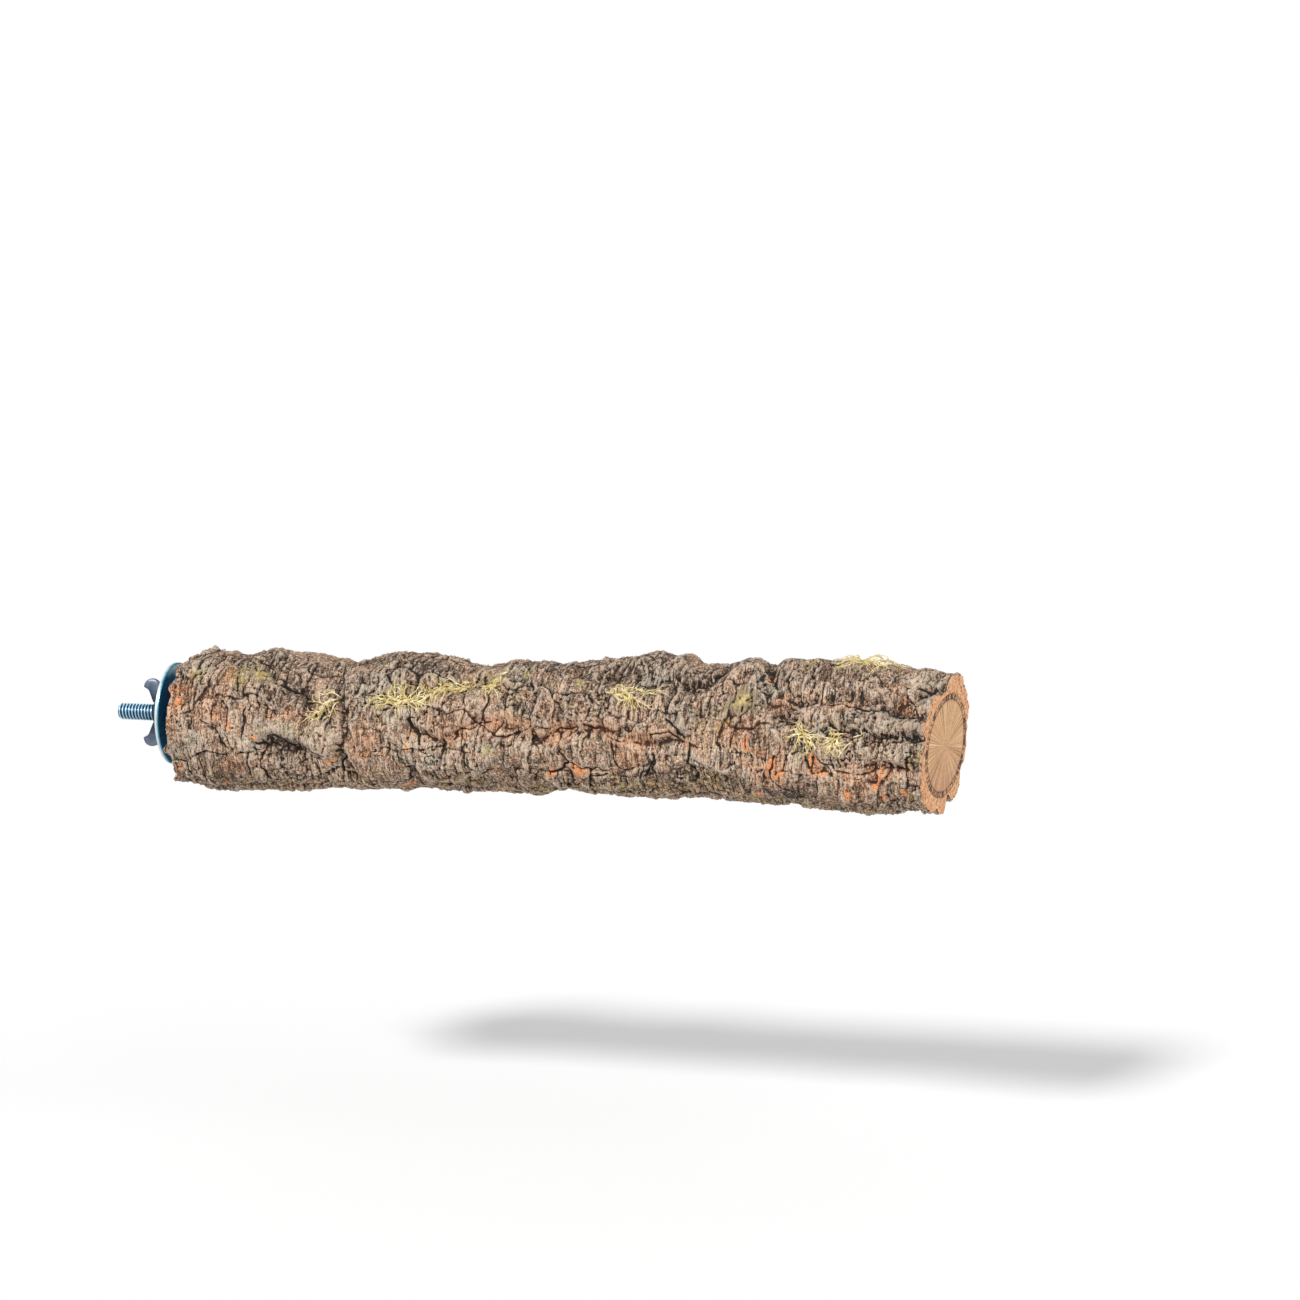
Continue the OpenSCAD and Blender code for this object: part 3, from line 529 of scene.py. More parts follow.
def skin(name, rings, loop=False, caps=False):
    """A mesh over rings of points, an array (rings, points round, 3) in millimetres, or one with many tubes
    of rings (tubes, rings, points round, 3). Neighbouring points of neighbouring rings make a four-cornered
    face. Each ring is closed, loop joins the last ring to the first, and caps closes both ends. The UV map
    is the grid laid flat."""
    rings = rings if rings.ndim == 4 else rings[None]
    tubes, m, n, _ = rings.shape
    spans = m if loop else m - 1
    i, j = np.meshgrid(np.arange(spans), np.arange(n), indexing="ij")
    corners = [(i, j), (i, j + 1), (i + 1, j + 1), (i + 1, j)]
    quads = np.stack([(a % m) * n + b % n for a, b in corners], -1).reshape(-1, 4)
    flat = np.stack([np.stack([a / spans, b / n], -1) for a, b in corners], -2).reshape(-1, 4, 2)
    starts = np.arange(tubes)[:, None] * m * n
    loops = [(quads.ravel() + starts).ravel()]
    sizes = [np.full(tubes * len(quads), 4)]
    maps = [np.tile(flat.reshape(-1, 2), (tubes, 1))]
    if caps:
        first, last = np.arange(n)[::-1], (m - 1) * n + np.arange(n)
        for ring, u in ((first, 0.0), (last, 1.0)):
            loops.append((ring + starts).ravel())
            sizes.append(np.full(tubes, n))
            maps.append(np.tile(np.stack([np.full(n, u), ring % n / n], -1), (tubes, 1)))
    loops, sizes = np.concatenate(loops), np.concatenate(sizes)
    mesh = bpy.data.meshes.new(name)
    mesh.vertices.add(tubes * m * n)
    mesh.vertices.foreach_set("co", (rings * MM).astype(np.float32).ravel())
    mesh.loops.add(len(loops))
    mesh.loops.foreach_set("vertex_index", loops.astype(np.int32))
    mesh.polygons.add(len(sizes))
    mesh.polygons.foreach_set("loop_start", (np.cumsum(sizes) - sizes).astype(np.int32))
    mesh.polygons.foreach_set("use_smooth", np.ones(len(sizes), bool))
    mesh.update(calc_edges=True)
    layer = mesh.uv_layers.new(name="OFBake")
    layer.uv.foreach_set("vector", np.concatenate(maps).astype(np.float32).ravel())
    mesh.validate()
    return mesh


def give_numbers(mesh, name, values):
    """One number for each point of the mesh, which its finish reads by this name."""
    attribute = mesh.attributes.new(name, "FLOAT", "POINT")
    attribute.data.foreach_set("value", np.asarray(values, np.float32).ravel())


def add(name, data):
    """An object of a mesh, lamp or camera, put into the scene."""
    thing = bpy.data.objects.new(name, data)
    bpy.context.scene.collection.objects.link(thing)
    return thing


def piece(name, mesh, finishes, body, slot, *nodes):
    """An object of the mesh with its finishes, which rides on a body and stands for CAD nodes."""
    thing = add(name, mesh)
    for finish in finishes:
        mesh.materials.append(finish)
    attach(thing, body)
    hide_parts(*nodes)


# Finishes


def srgb(r, g, b):
    """A colour given as it looks on a screen, as the linear numbers that shaders take."""
    return tuple(((x + 0.055) / 1.055) ** 2.4 if x > 0.04045 else x / 12.92 for x in (r, g, b)) + (1.0,)


class Wire:
    """One output of a node. Arithmetic on wires adds Math nodes."""

    def __init__(self, tree, socket):
        self.tree, self.socket = tree, socket

    def math(self, operation, *values):
        """A Math node on these values, numbers or wires."""
        return self.tree.node("ShaderNodeMath", {"operation": operation}, dict(enumerate(values)))

    def __add__(self, other):
        return self.math("ADD", self, other)

    def __radd__(self, other):
        return self.math("ADD", other, self)

    def __sub__(self, other):
        return self.math("SUBTRACT", self, other)

    def __rsub__(self, other):
        return self.math("SUBTRACT", other, self)

    def __mul__(self, other):
        return self.math("MULTIPLY", self, other)

    def __rmul__(self, other):
        return self.math("MULTIPLY", other, self)

    def __truediv__(self, other):
        return self.math("DIVIDE", self, other)

    def __rtruediv__(self, other):
        return self.math("DIVIDE", other, self)

    def size(self):
        """The number without its sign."""
        return self.math("ABSOLUTE", self)

    def between(self, low, high):
        """0 below low, 1 above high, eased between them. With low above high it falls."""
        if low > high:
            return 1 - self.between(high, low)
        settings = {"interpolation_type": "SMOOTHSTEP"}
        return self.tree.node("ShaderNodeMapRange", settings, {0: self, 1: low, 2: high})


class Tree:
    """The nodes of a material or of the world."""

    def __init__(self, owner):
        owner.use_nodes = True
        self.nodes, self.links = owner.node_tree.nodes, owner.node_tree.links
        self.nodes.clear()

    def node(self, kind, settings=None, sockets=None, out=0):
        """Adds a node: its settings come first, then each socket's value or link. Gives the output out, if
        it has any."""
        node = self.nodes.new(kind)
        for key, value in (settings or {}).items():
            if key == "stops":
                ramp = node.color_ramp
                for k, (at, color) in enumerate(value):
                    stop = ramp.elements[k] if k < 2 else ramp.elements.new(at)
                    stop.position, stop.color = at, color
            else:
                setattr(node, key, value)
        for key, value in (sockets or {}).items():
            if isinstance(value, Wire):
                self.links.new(value.socket, node.inputs[key])
            else:
                node.inputs[key].default_value = value
        return Wire(self, node.outputs[out]) if len(node.outputs) else None


class Finish(Tree):
    """The material of a piece. Its patterns lie on the piece's own Object coordinates."""

    def __init__(self, name):
        self.material = bpy.data.materials.new(name)
        super().__init__(self.material)
        self.place = self.node("ShaderNodeTexCoord", out="Object")

    def number(self, name):
        """A number that the mesh holds for each point."""
        return self.node("ShaderNodeAttribute", {"attribute_name": name}, out="Fac")

    def noise(self, size, detail=4.0, roughness=0.55, stretch=None):
        """Noise with features of about size millimetres. Stretch widens them along x, y and z."""
        place = self.place
        if stretch:
            scale = tuple(1 / x for x in stretch)
            place = self.node("ShaderNodeMapping", None, {"Vector": place, "Scale": scale})
        sockets = {"Vector": place, "Scale": 1 / (size * MM), "Detail": detail, "Roughness": roughness}
        return self.node("ShaderNodeTexNoise", None, sockets)

    def from_pith(self):
        """Distance and direction from the line through the middle of the wood, and the height over it."""
        sockets = {"Vector": self.place, "Location": (0, 0, -LOG_Z * MM), "Scale": (0, 1, 1)}
        beside = self.node("ShaderNodeMapping", None, sockets)
        radius = self.node("ShaderNodeVectorMath", {"operation": "LENGTH"}, {0: beside}, "Value")
        heading = self.node("ShaderNodeVectorMath", {"operation": "NORMALIZE"}, {0: beside})
        height = self.node("ShaderNodeSeparateXYZ", None, {0: beside}, "Z")
        return radius / MM, heading, height / MM

    def blend(self, factor, a, b, kind="MIX"):
        """One colour over another, by a factor."""
        settings = {"data_type": "RGBA", "blend_type": kind}
        return self.node("ShaderNodeMix", settings, {0: factor, 6: a, 7: b}, 2)

    def ramp(self, factor, colors):
        """Colours along a number: each is a place and a colour as it looks on a screen."""
        stops = [(at, srgb(*color)) for at, color in colors]
        return self.node("ShaderNodeValToRGB", {"stops": stops}, {0: factor})

    def tint(self, factor, color, over, kind="MIX"):
        """A named colour, given as it looks on a screen, over another by a factor."""
        return self.blend(factor, color, srgb(*over), kind)

    def bump(self, height, distance, strength=1.0):
        """A normal from a height, whose full range stands distance millimetres high."""
        sockets = {"Height": height, "Distance": distance * MM, "Strength": strength}
        return self.node("ShaderNodeBump", None, sockets)

    def done(self, **sockets):
        """Ends the tree in one shader. Its sockets are named in lower case with underscores."""
        named = {key.replace("_", " ").title(): value for key, value in sockets.items()}
        shader = self.node("ShaderNodeBsdfPrincipled", None, named)
        self.node("ShaderNodeOutputMaterial", None, {"Surface": shader})
        return self.material


# Colours of the bark from its shadows to its palest crumbs, by lightness: brown, and weathered grey
BARK_BROWNS = [(0.05, (0.27, 0.20, 0.155)), (0.32, (0.52, 0.40, 0.32)), (0.50, (0.68, 0.54, 0.44)),
               (0.68, (0.785, 0.64, 0.53)), (0.95, (0.93, 0.82, 0.72))]
BARK_GREYS = [(0.05, (0.24, 0.205, 0.175)), (0.32, (0.44, 0.38, 0.325)), (0.50, (0.58, 0.505, 0.44)),
              (0.68, (0.69, 0.62, 0.55)), (0.95, (0.87, 0.815, 0.745))]
FRESH_CORK = [(0.34, (0.66, 0.27, 0.11)), (0.44, (0.93, 0.55, 0.31)), (0.58, (0.96, 0.74, 0.54))]

# Tints laid over them: algae, warm and olive multiply, the rest cover
ALGAE, WARM, OLIVE = (0.93, 0.92, 0.72), (1.0, 0.87, 0.76), (0.92, 0.91, 0.67)
# The last colour on the next line is a painted highlight for the ridges
PALE_CRUST, YELLOW_CRUST, RIDGE_HIGHLIGHT = (0.78, 0.74, 0.66), (0.76, 0.70, 0.46), (0.93, 0.84, 0.75)
THIN_LINE, STREAK, YOUNG_WALL = (0.21, 0.145, 0.105), (0.20, 0.145, 0.11), (0.85, 0.65, 0.50)
# Painted shade for the cracks and hollows: near black, and red-brown where the cork is young
HOLLOW_SHADE, WARM_HOLLOW_SHADE = (0.10, 0.07, 0.05), (0.30, 0.16, 0.10)


def bark_finish():
    """Cork bark. Its lightness is a sum of noises, broad to fine, some stretched round the log and some
    along it, with painted light on the higher plates and painted shade on the underside; a pink-brown and
    a grey run of colours share it in patches. Then come algae, warm young cork, olive, pale and yellow
    crusts, painted highlights on the ridges, thin dark lines, orange places broken open and painted shade,
    near black, in the cracks and hollows."""
    f = Finish("cork_bark")
    hollow, tone, wall, fresh = f.number("hollow"), f.number("tone"), f.number("wall"), f.number("fresh")
    dark, warm, scar, lined = f.number("dark"), f.number("warm"), f.number("scar"), f.number("lined")
    patches, flecks, mottle = f.noise(9, 4, 0.6), f.noise(2.8, 5, 0.7), f.noise(1.2, 4, 0.8)
    greys, grain, algae = f.noise(5, 4, 0.65), f.noise(0.5, 3, 0.65), f.noise(3.4, 5, 0.7)
    specks = f.noise(0.7, 3, 0.7).between(0.40, 0.60)
    streaks, layers = f.noise(0.6, 4, 0.7, stretch=(1, 9, 9)), f.noise(0.8, 3, 0.6, stretch=(9, 1, 1))

    # Painted light: the higher plates are made lighter, by their height
    light = patches * 0.9 + flecks * 0.7 + layers * 0.5 + specks * 0.46 + tone * 0.16
    light = light + (mottle - 0.5) * (1.9 - lined * 1.1)
    light = light + (streaks.between(0.36, 0.64) - 0.5) * (0.14 + lined * 0.32)
    # Painted shade: the underside is made darker, by its number under
    light = light + warm * 0.08 + scar * 0.06 - dark * 0.37 - f.number("under") * 0.15 - 0.71
    weathered = (greys + scar * 0.12 + dark * 0.06).between(0.47, 0.59) * 0.75
    color = f.blend(weathered, f.ramp(light, BARK_BROWNS), f.ramp(light, BARK_GREYS))

    color = f.tint(algae.between(0.50, 0.60) * (1 - warm) * 0.5, color, ALGAE, "MULTIPLY")
    color = f.tint(warm * 0.8, color, WARM, "MULTIPLY")
    color = f.tint(f.number("olive") * flecks.between(0.38, 0.52) * 0.75, color, OLIVE, "MULTIPLY")
    color = f.tint(f.number("pale") * flecks.between(0.42, 0.54) * 0.7, color, PALE_CRUST)
    color = f.tint(f.number("yellow") * mottle.between(0.40, 0.50) * 0.75, color, YELLOW_CRUST)
    # Painted highlight on the ridges, where the skin stands over what is round it
    color = f.tint(hollow.between(0.34, 0.08) * 0.55, color, RIDGE_HIGHLIGHT)

    veins, side_veins = f.noise(0.9, 2, 0.5, stretch=(1, 6, 6)), f.noise(1.3, 2, 0.5, stretch=(5, 1.6, 1.6))
    lines = (veins - 0.5).size().between(0.026, 0.008) * (lined * 0.4 + 0.6)
    lines = lines + (side_veins - 0.5).size().between(0.014, 0.003) * 0.4
    color = f.tint(lines, color, THIN_LINE)
    color = f.tint(streaks.between(0.42, 0.32) * 0.7, color, STREAK)

    color = f.tint(wall * mottle.between(0.42, 0.54) * 0.65, color, YOUNG_WALL)
    color = f.blend(fresh * mottle.between(0.30, 0.42), color, f.ramp(grain, FRESH_CORK))
    # Painted shade in the cracks and hollows: near black, red-brown where the cork is young
    crack = f.tint(wall * 0.5 + warm * 0.5, srgb(*HOLLOW_SHADE), WARM_HOLLOW_SHADE)
    color = f.blend((hollow - wall * 0.12).between(0.58, 0.80) * 0.96, color, crack)
    height = streaks * 0.6 + mottle * 0.4 + grain * 0.45
    return f.done(base_color=color, roughness=0.9, normal=f.bump(height, 1.0))


SAWN_CORK = [(0.36, (0.80, 0.54, 0.36)), (0.48, (0.945, 0.695, 0.50)), (0.62, (0.99, 0.81, 0.635))]
CORK_PORE, CORK_FOOT = (0.44, 0.24, 0.14), (0.45, 0.29, 0.20)


def sawn_cork_finish():
    """Sawn cork: granular light orange-tan with brown pores, and darker next to the inner bark."""
    f = Finish("sawn_cork")
    grain, pores = f.noise(1.3, 5, 0.7), f.noise(0.75, 2, 0.5)
    color = f.ramp(grain, SAWN_CORK)
    color = f.tint(pores.between(0.57, 0.64) * 0.9, color, CORK_PORE)
    color = f.tint((f.number("depth") + grain * 0.3).between(0.22, 0.14) * 0.6, color, CORK_FOOT)
    return f.done(base_color=color, roughness=0.85, normal=f.bump(grain, 0.25))


INNER_BARK_TANS = [(0.38, (0.62, 0.42, 0.29)), (0.50, (0.92, 0.71, 0.52))]
INNER_BARK_TOOTH, INNER_BARK_LINE = (0.22, 0.13, 0.085), (0.33, 0.20, 0.13)


def inner_bark_finish():
    """Inner bark: tan with dark teeth and specks, and a darker line round the wood. The teeth are noise on
    the direction from the middle of the wood."""
    f = Finish("inner_bark")
    grain, ragged = f.noise(1.3, 3, 0.65), f.noise(2.6, 3, 0.6)
    radius, heading, _ = f.from_pith()
    teeth = f.node("ShaderNodeTexNoise", None, {"Vector": heading, "Scale": 15.3, "Detail": 2.0})
    outward = (radius - WOOD_R) / (INNER_BARK_R - WOOD_R) + ragged * 1.2 - 0.6
    edge = (outward * 2 - 1).size()
    specks = teeth * 0.6 + grain * 0.5 + edge * 0.04 - 0.05
    color = f.tint(specks.between(0.49, 0.53) * 0.95, f.ramp(grain, INNER_BARK_TANS), INNER_BARK_TOOTH)
    line = outward.between(0.20, 0.06) * grain.between(0.44, 0.54) * 0.9
    color = f.tint(line, color, INNER_BARK_LINE)
    return f.done(base_color=color, roughness=0.8, normal=f.bump(grain, 0.2))


WOOD_TANS = [(0.36, (0.62, 0.44, 0.30)), (0.50, (0.87, 0.67, 0.475)), (0.62, (0.99, 0.82, 0.62))]
WOOD_SHADE, WOOD_RING = (0.90, 0.86, 0.90), (0.68, 0.50, 0.36)
SAW_MARK, WOOD_RIM = (0.90, 0.78, 0.64), (0.45, 0.30, 0.22)


def wood_finish():
    """End grain of the wood: tan, with fine rays out from the middle, faint growth rings, saw marks and a
    greyer, pinker lower part. The rays are noise on the direction from the middle, the rings noise on the
    distance."""
    f = Finish("wood")
    radius, heading, height = f.from_pith()
    share = radius / WOOD_R
    rays = f.node("ShaderNodeTexNoise", None, {"Vector": heading, "Scale": 32.0, "Detail": 4.0})
    rings = f.node("ShaderNodeTexNoise", {"noise_dimensions": "1D"}, {"W": share, "Scale": 14.0})
    cloud, marks = f.noise(9, 3), f.noise(0.5, 2, 0.5, stretch=(9, 9, 1))
    lower = (cloud * 0.8 - height / WOOD_R * 0.5).between(0.30, 0.90)
    color = f.tint(lower * 0.9, f.ramp(rays, WOOD_TANS), WOOD_SHADE, "MULTIPLY")
    color = f.tint(rings.between(0.5, 0.62) * 0.25, color, WOOD_RING)
    color = f.tint(marks.between(0.46, 0.62) * 0.2, color, SAW_MARK)
    color = f.tint((share + cloud * 0.05).between(0.99, 1.03), color, WOOD_RIM)
    return f.done(base_color=color, roughness=0.75, normal=f.bump(rays + marks, 0.06))


def zinc_finish(name, face, rim, edge, metal, dull):
    """Zinc plate, faintly cloudy and scratched: the tint of its faces gives way to bare bright metal where
    the piece's number for wear is high. On the washers' faces that number also paints a reflection, brighter
    towards the top. Seen aslant, it mirrors in its edge tint. Metal is how much it mirrors, and dull the
    roughness of its mirror."""
    f = Finish(name)
    cloud, fine = f.noise(3.5, 3), f.noise(0.3, 2)
    color = f.tint((f.number("worn") + cloud * 0.5 - 0.25).between(0.2, 0.8), srgb(*face), rim)
    rough = dull + cloud * 0.12 + fine * 0.06
    return f.done(base_color=color, metallic=metal, specular_tint=srgb(*edge), roughness=rough,
                  normal=f.bump(fine, 0.015))


BEARD_YELLOWS = [(0.36, (0.78, 0.69, 0.42)), (0.48, (0.95, 0.87, 0.62)), (0.60, (1.0, 0.96, 0.80))]


def beard_finish():
    """Beard lichen: threads of a pale yellow that changes from place to place."""
    f = Finish("beard_lichen")
    return f.done(base_color=f.ramp(f.noise(2.0, 3), BEARD_YELLOWS), roughness=0.8)


CRUST_YELLOWS = [(0.36, (0.58, 0.49, 0.32)), (0.50, (0.75, 0.66, 0.45)), (0.62, (0.86, 0.78, 0.57))]
CRUST_GREYS = [(0.36, (0.36, 0.31, 0.25)), (0.50, (0.60, 0.53, 0.43)), (0.64, (0.74, 0.66, 0.55))]
# The last colour on the next line is painted shade for the cracks and hollows
CRUST_STREAK, CRUST_MEAL, CRUST_HOLLOW_SHADE = (0.30, 0.26, 0.18), (0.84, 0.80, 0.64), (0.13, 0.10, 0.06)


def crust_finish():
    """Crust lichen: mealy yellow-green in the middle, broken up and greyer towards its rim, with painted
    shade in the cracks and hollows of the bark below."""
    f = Finish("crust_lichen")
    grain, cloud = f.noise(0.9, 5, 0.7), f.noise(2.6, 4, 0.6)
    streaks = f.noise(0.6, 4, 0.7, stretch=(1, 9, 9))
    whole = (f.number("inward") + grain * 1.6 - 0.8).between(0.30, 0.55)
    color = f.blend(whole, f.ramp(streaks, CRUST_GREYS), f.ramp(cloud, CRUST_YELLOWS))
    color = f.tint(streaks.between(0.48, 0.36) * 0.3, color, CRUST_STREAK)
    color = f.tint(grain.between(0.56, 0.66) * 0.4, color, CRUST_MEAL)
    # Painted shade in the cracks and hollows of the bark below
    color = f.tint(f.number("hollow").between(0.55, 0.86) * 0.96, color, CRUST_HOLLOW_SHADE)
    return f.done(base_color=color, roughness=0.9, normal=f.bump(grain + streaks, 0.5))


# Pieces of the log


# Least thickness of the cork with its relief, the depth and length of the rounding of its ends, and how far
# its broken near end stands out and in, and how far along the log that reaches
CORK_LEAST, ROUNDING, ROUNDING_LENGTH, NEAR_RAGGED, NEAR_REACH = 0.5, 0.5, 0.5, 1.5, 4.0


def grid_number(grid, along, arc):
    """The grid's number at any place, from the four grid points round it."""
    x = np.clip(along / LOG_LENGTH * STEPS, 0, STEPS - 1e-6)
    y = arc / GIRTH * SIDES
    i, j = np.floor(x).astype(int), np.floor(y).astype(int)
    u, v = x - i, y - j
    j0, j1 = j % SIDES, (j + 1) % SIDES
    return mix(mix(grid[i, j0], grid[i + 1, j0], u), mix(grid[i, j1], grid[i + 1, j1], u), v)


class Bark:
    """The bark's outer skin as a grid of places, with its height over the inner bark."""

    def __init__(self):
        """Works out the height: cork and fine relief, less a rounding that falls away from both ends. The
        number for hollows is high where the skin lies under the mean of what is round it. The finishes paint
        shade by it in the cracks and hollows, and highlights on the ridges."""
        along = np.linspace(0, LOG_LENGTH, STEPS + 1)[:, None]
        self.along, self.arc = np.broadcast_arrays(along, RING_ARC)
        relief, self.numbers = bark_relief(self.along, self.arc)
        ends = np.exp(-np.minimum(along, LOG_LENGTH - along) / ROUNDING_LENGTH)
        worn = ROUNDING * ends * (1.2 + layered_noise(self.along, self.arc, (3, 3), 700))
        self.lift = np.maximum(CORK_LEAST, cork_cover(self.along, self.arc) + relief - worn)
        self.points = log_place(self.along, self.arc, self.lift)
        ragged = np.clip(1.4 * layered_noise(0 * RING_ARC, RING_ARC, (5, 6), 710, 2), -1, 0.9)
        self.points[..., 0] += NEAR_RAGGED * ragged * np.exp(-along / NEAR_REACH)
        step = LOG_LENGTH / STEPS
        near, wide = blur(self.lift, 0.8 / step), blur(self.lift, 3.0 / step)
        self.numbers["hollow"] = 0.42 + 1.15 * (near - self.lift) + 0.09 * (wide - self.lift)

    def skin_point(self, along, arc, height):
        """The point at that height over the skin."""
        return log_place(along, arc, grid_number(self.lift, along, arc) + height)


def end_rings(outer, inner, count, seed, rough):
    """Rings across an end of the cork, from the skin's last ring inwards to the inner bark. They lie evenly
    between the two, and stand rough millimetres in and out of the line between them."""
    share = (np.arange(1, count + 1) / count)[:, None]
    rings = mix(outer, inner, share[..., None])
    grain = layered_noise(7 * share, RING_ARC, (0.9, 1.1), seed)
    rings[..., 0] += rough * grain * np.sin(math.pi * share)
    return rings


# Where the broken near end meets the inner bark, as a share of the seat's depth
NEAR_FOOT_SHARE = 0.4


def cork_lengths(bark, finishes):
    """The cork bark in lengths. Each is a closed tube: its skin, its far end, the wall on the inner bark and
    its near end. The number for depth falls from 1 on the skin to 0 at the inner bark. The first finish is
    the skin's and the second that of all other faces."""
    wall = log_place(bark.along, bark.arc, np.zeros_like(bark.lift))
    foot = wall[0] * (0, 1, 1) + (NEAR_FOOT_SHARE * SEAT_DEPTH, 0, 0)
    sawn = end_rings(bark.points[-1], wall[-1], 16, 901, 0.12)
    broken = end_rings(bark.points[0], foot, 12, 902, 0.45)
    for k in range(LENGTHS):
        first, last = STEPS * k // LENGTHS, STEPS * (k + 1) // LENGTHS
        outer = bark.points[first : last + 1]
        far = sawn if k == LENGTHS - 1 else wall[last][None]
        near = broken if k == 0 else wall[first][None]
        rings = np.concatenate([outer, far, near[::-1]])
        mesh = skin(f"cork_bark_{k + 1}", rings, loop=True)
        count = np.arange(len(rings))
        for name, values in bark.numbers.items():
            give_numbers(mesh, name, values[np.minimum(first + count, last)])
        far_depth, near_depth = (1 - np.arange(1, len(face) + 1) / len(face) for face in (far, near))
        depth = np.concatenate([np.ones(len(outer)), far_depth, near_depth[::-1]])
        give_numbers(mesh, "depth", np.repeat(depth, SIDES))
        on_skin, on_wall = count < len(outer) - 1, count == len(outer) + len(far) - 1
        mesh.polygons.foreach_set("material_index", np.repeat(~on_skin, SIDES).astype(np.int32))
        mesh.polygons.foreach_set("use_smooth", np.repeat(~on_wall, SIDES))
        piece(f"cork_bark_{k + 1}", mesh, finishes, "perch", "cork_bark", "cork_bark")


def build_log(bark):
    """The cork, and finishes on the CAD solids of the wood and the inner bark."""
    cork_lengths(bark, [bark_finish(), sawn_cork_finish()])
    for node, finish in (("wood_core", wood_finish()), ("inner_bark", inner_bark_finish())):
        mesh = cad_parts[node].data
        mesh.materials.clear()
        mesh.materials.append(finish)


# Lichens


def tubes(path, radius, sides, outward):
    """Rings round many paths at once. path is (tubes, points, 3), radius is one number for each point,
    and outward is any direction that no path runs along. Each ring lies square to its path."""
    along = np.gradient(path, axis=1)
    along /= np.linalg.norm(along, axis=-1, keepdims=True)
    side = np.cross(along, outward)
    side /= np.linalg.norm(side, axis=-1, keepdims=True)
    up = np.cross(side, along)
    turn = circle(sides)[:, None]
    ring = np.cos(turn) * up[:, :, None] - np.sin(turn) * side[:, :, None]
    return path[:, :, None] + radius[..., None, None] * ring


# Width and height of a full tuft, and of a pad
TUFT_W, TUFT_H, PAD_W, PAD_H = 8.0, 2.6, 13.0, 1.0

# Tufts and pads as the part has them: the share of a full one, then the line as shares of the log's
# length and of a turn. For a tuft come its number of threads and their way, in radians.
TUFTS = {
    "beard_lichen_left": (1.0, [(0.215, 0.20), (0.238, 0.165)], 14, (2.6, 0.8, 0.1)),
    "beard_lichen_band": (1.0, [(0.30, 0.175), (0.34, 0.16)], 38, (-0.2, 0.8, 0.5)),
    "beard_lichen_band_end": (0.75, [(0.355, 0.155), (0.40, 0.10)], 40, (-0.6, 0.8, 0.5)),
    "beard_lichen_middle": (0.75, [(0.43, 0.125), (0.45, 0.105)], 12, (1.6, 0.9, 0.3)),
    "beard_lichen_hollow": (1.0, [(0.60, 0.15), (0.645, 0.135)], 24, (0.1, 0.8, 0.4)),
    "beard_lichen_right": (0.75, [(0.845, 0.205), (0.865, 0.225)], 20, (0.6, 1.2, 0.3)),
    "beard_lichen_right_fan": (0.8, [(0.89, 0.205), (0.915, 0.225)], 16, (2.4, 1.0, 0.1)),
    "beard_lichen_top": (1.2, [(0.882, -0.012), (0.902, -0.006)], 36, (0.0, 1.0, 0.5)),
}
PADS = {
    "crust_lichen_green": (0.9, [(0.105, 0.10), (0.14, 0.12)]),
    "crust_lichen_yellow": (0.9, [(0.75, 0.14), (0.785, 0.15)]),
}

# Points along a thread, and sides of it; radii of a thread and of its branches; shortest and longest
# thread; threads in a clump, and how far they stray from it as a share of the tuft's width; how deep a
# thread's foot lies in the tuft, and how high the tuft's floor lies over the bark
THREAD_POINTS, THREAD_SIDES = 10, 4
THREAD_R, BRANCH_R, THREAD_LENGTHS = 0.24, 0.17, (4.5, 11.0)
CLUMP, STRAY_SHARE, ROOT_DEPTH, FLOOR_H = 8, 0.11, 0.3, 0.2


def threads(start, heading, length, curl, rise, seed):
    """Paths of lichen threads on the bark laid flat, (threads, points) each for along, arc and height.
    A thread sets off in its heading, turns steadily by its curl with a slow wobble, rises to its height
    and sinks again towards its tip."""
    shuffle = np.random.default_rng(SEED + seed)
    count = len(heading)
    t = np.linspace(0, 1, THREAD_POINTS)[None, :]
    wobble = shuffle.uniform(-0.6, 0.6, (count, 1)) * np.sin(t * shuffle.uniform(4, 9, (count, 1)))
    way = heading[:, None] + curl[:, None] * t + wobble
    step = length[:, None] / (THREAD_POINTS - 1)
    lift = start[2][:, None] + rise[:, None] * np.sin(math.pi * np.minimum(1, 1.2 * t) ** 0.7)
    runs = []
    for begin, part in ((start[0], np.cos(way)), (start[1], np.sin(way))):
        runs.append(begin[:, None] + np.cumsum(np.roll(part * step, 1, 1) * (t > 0), 1))
    return runs[0], runs[1], lift


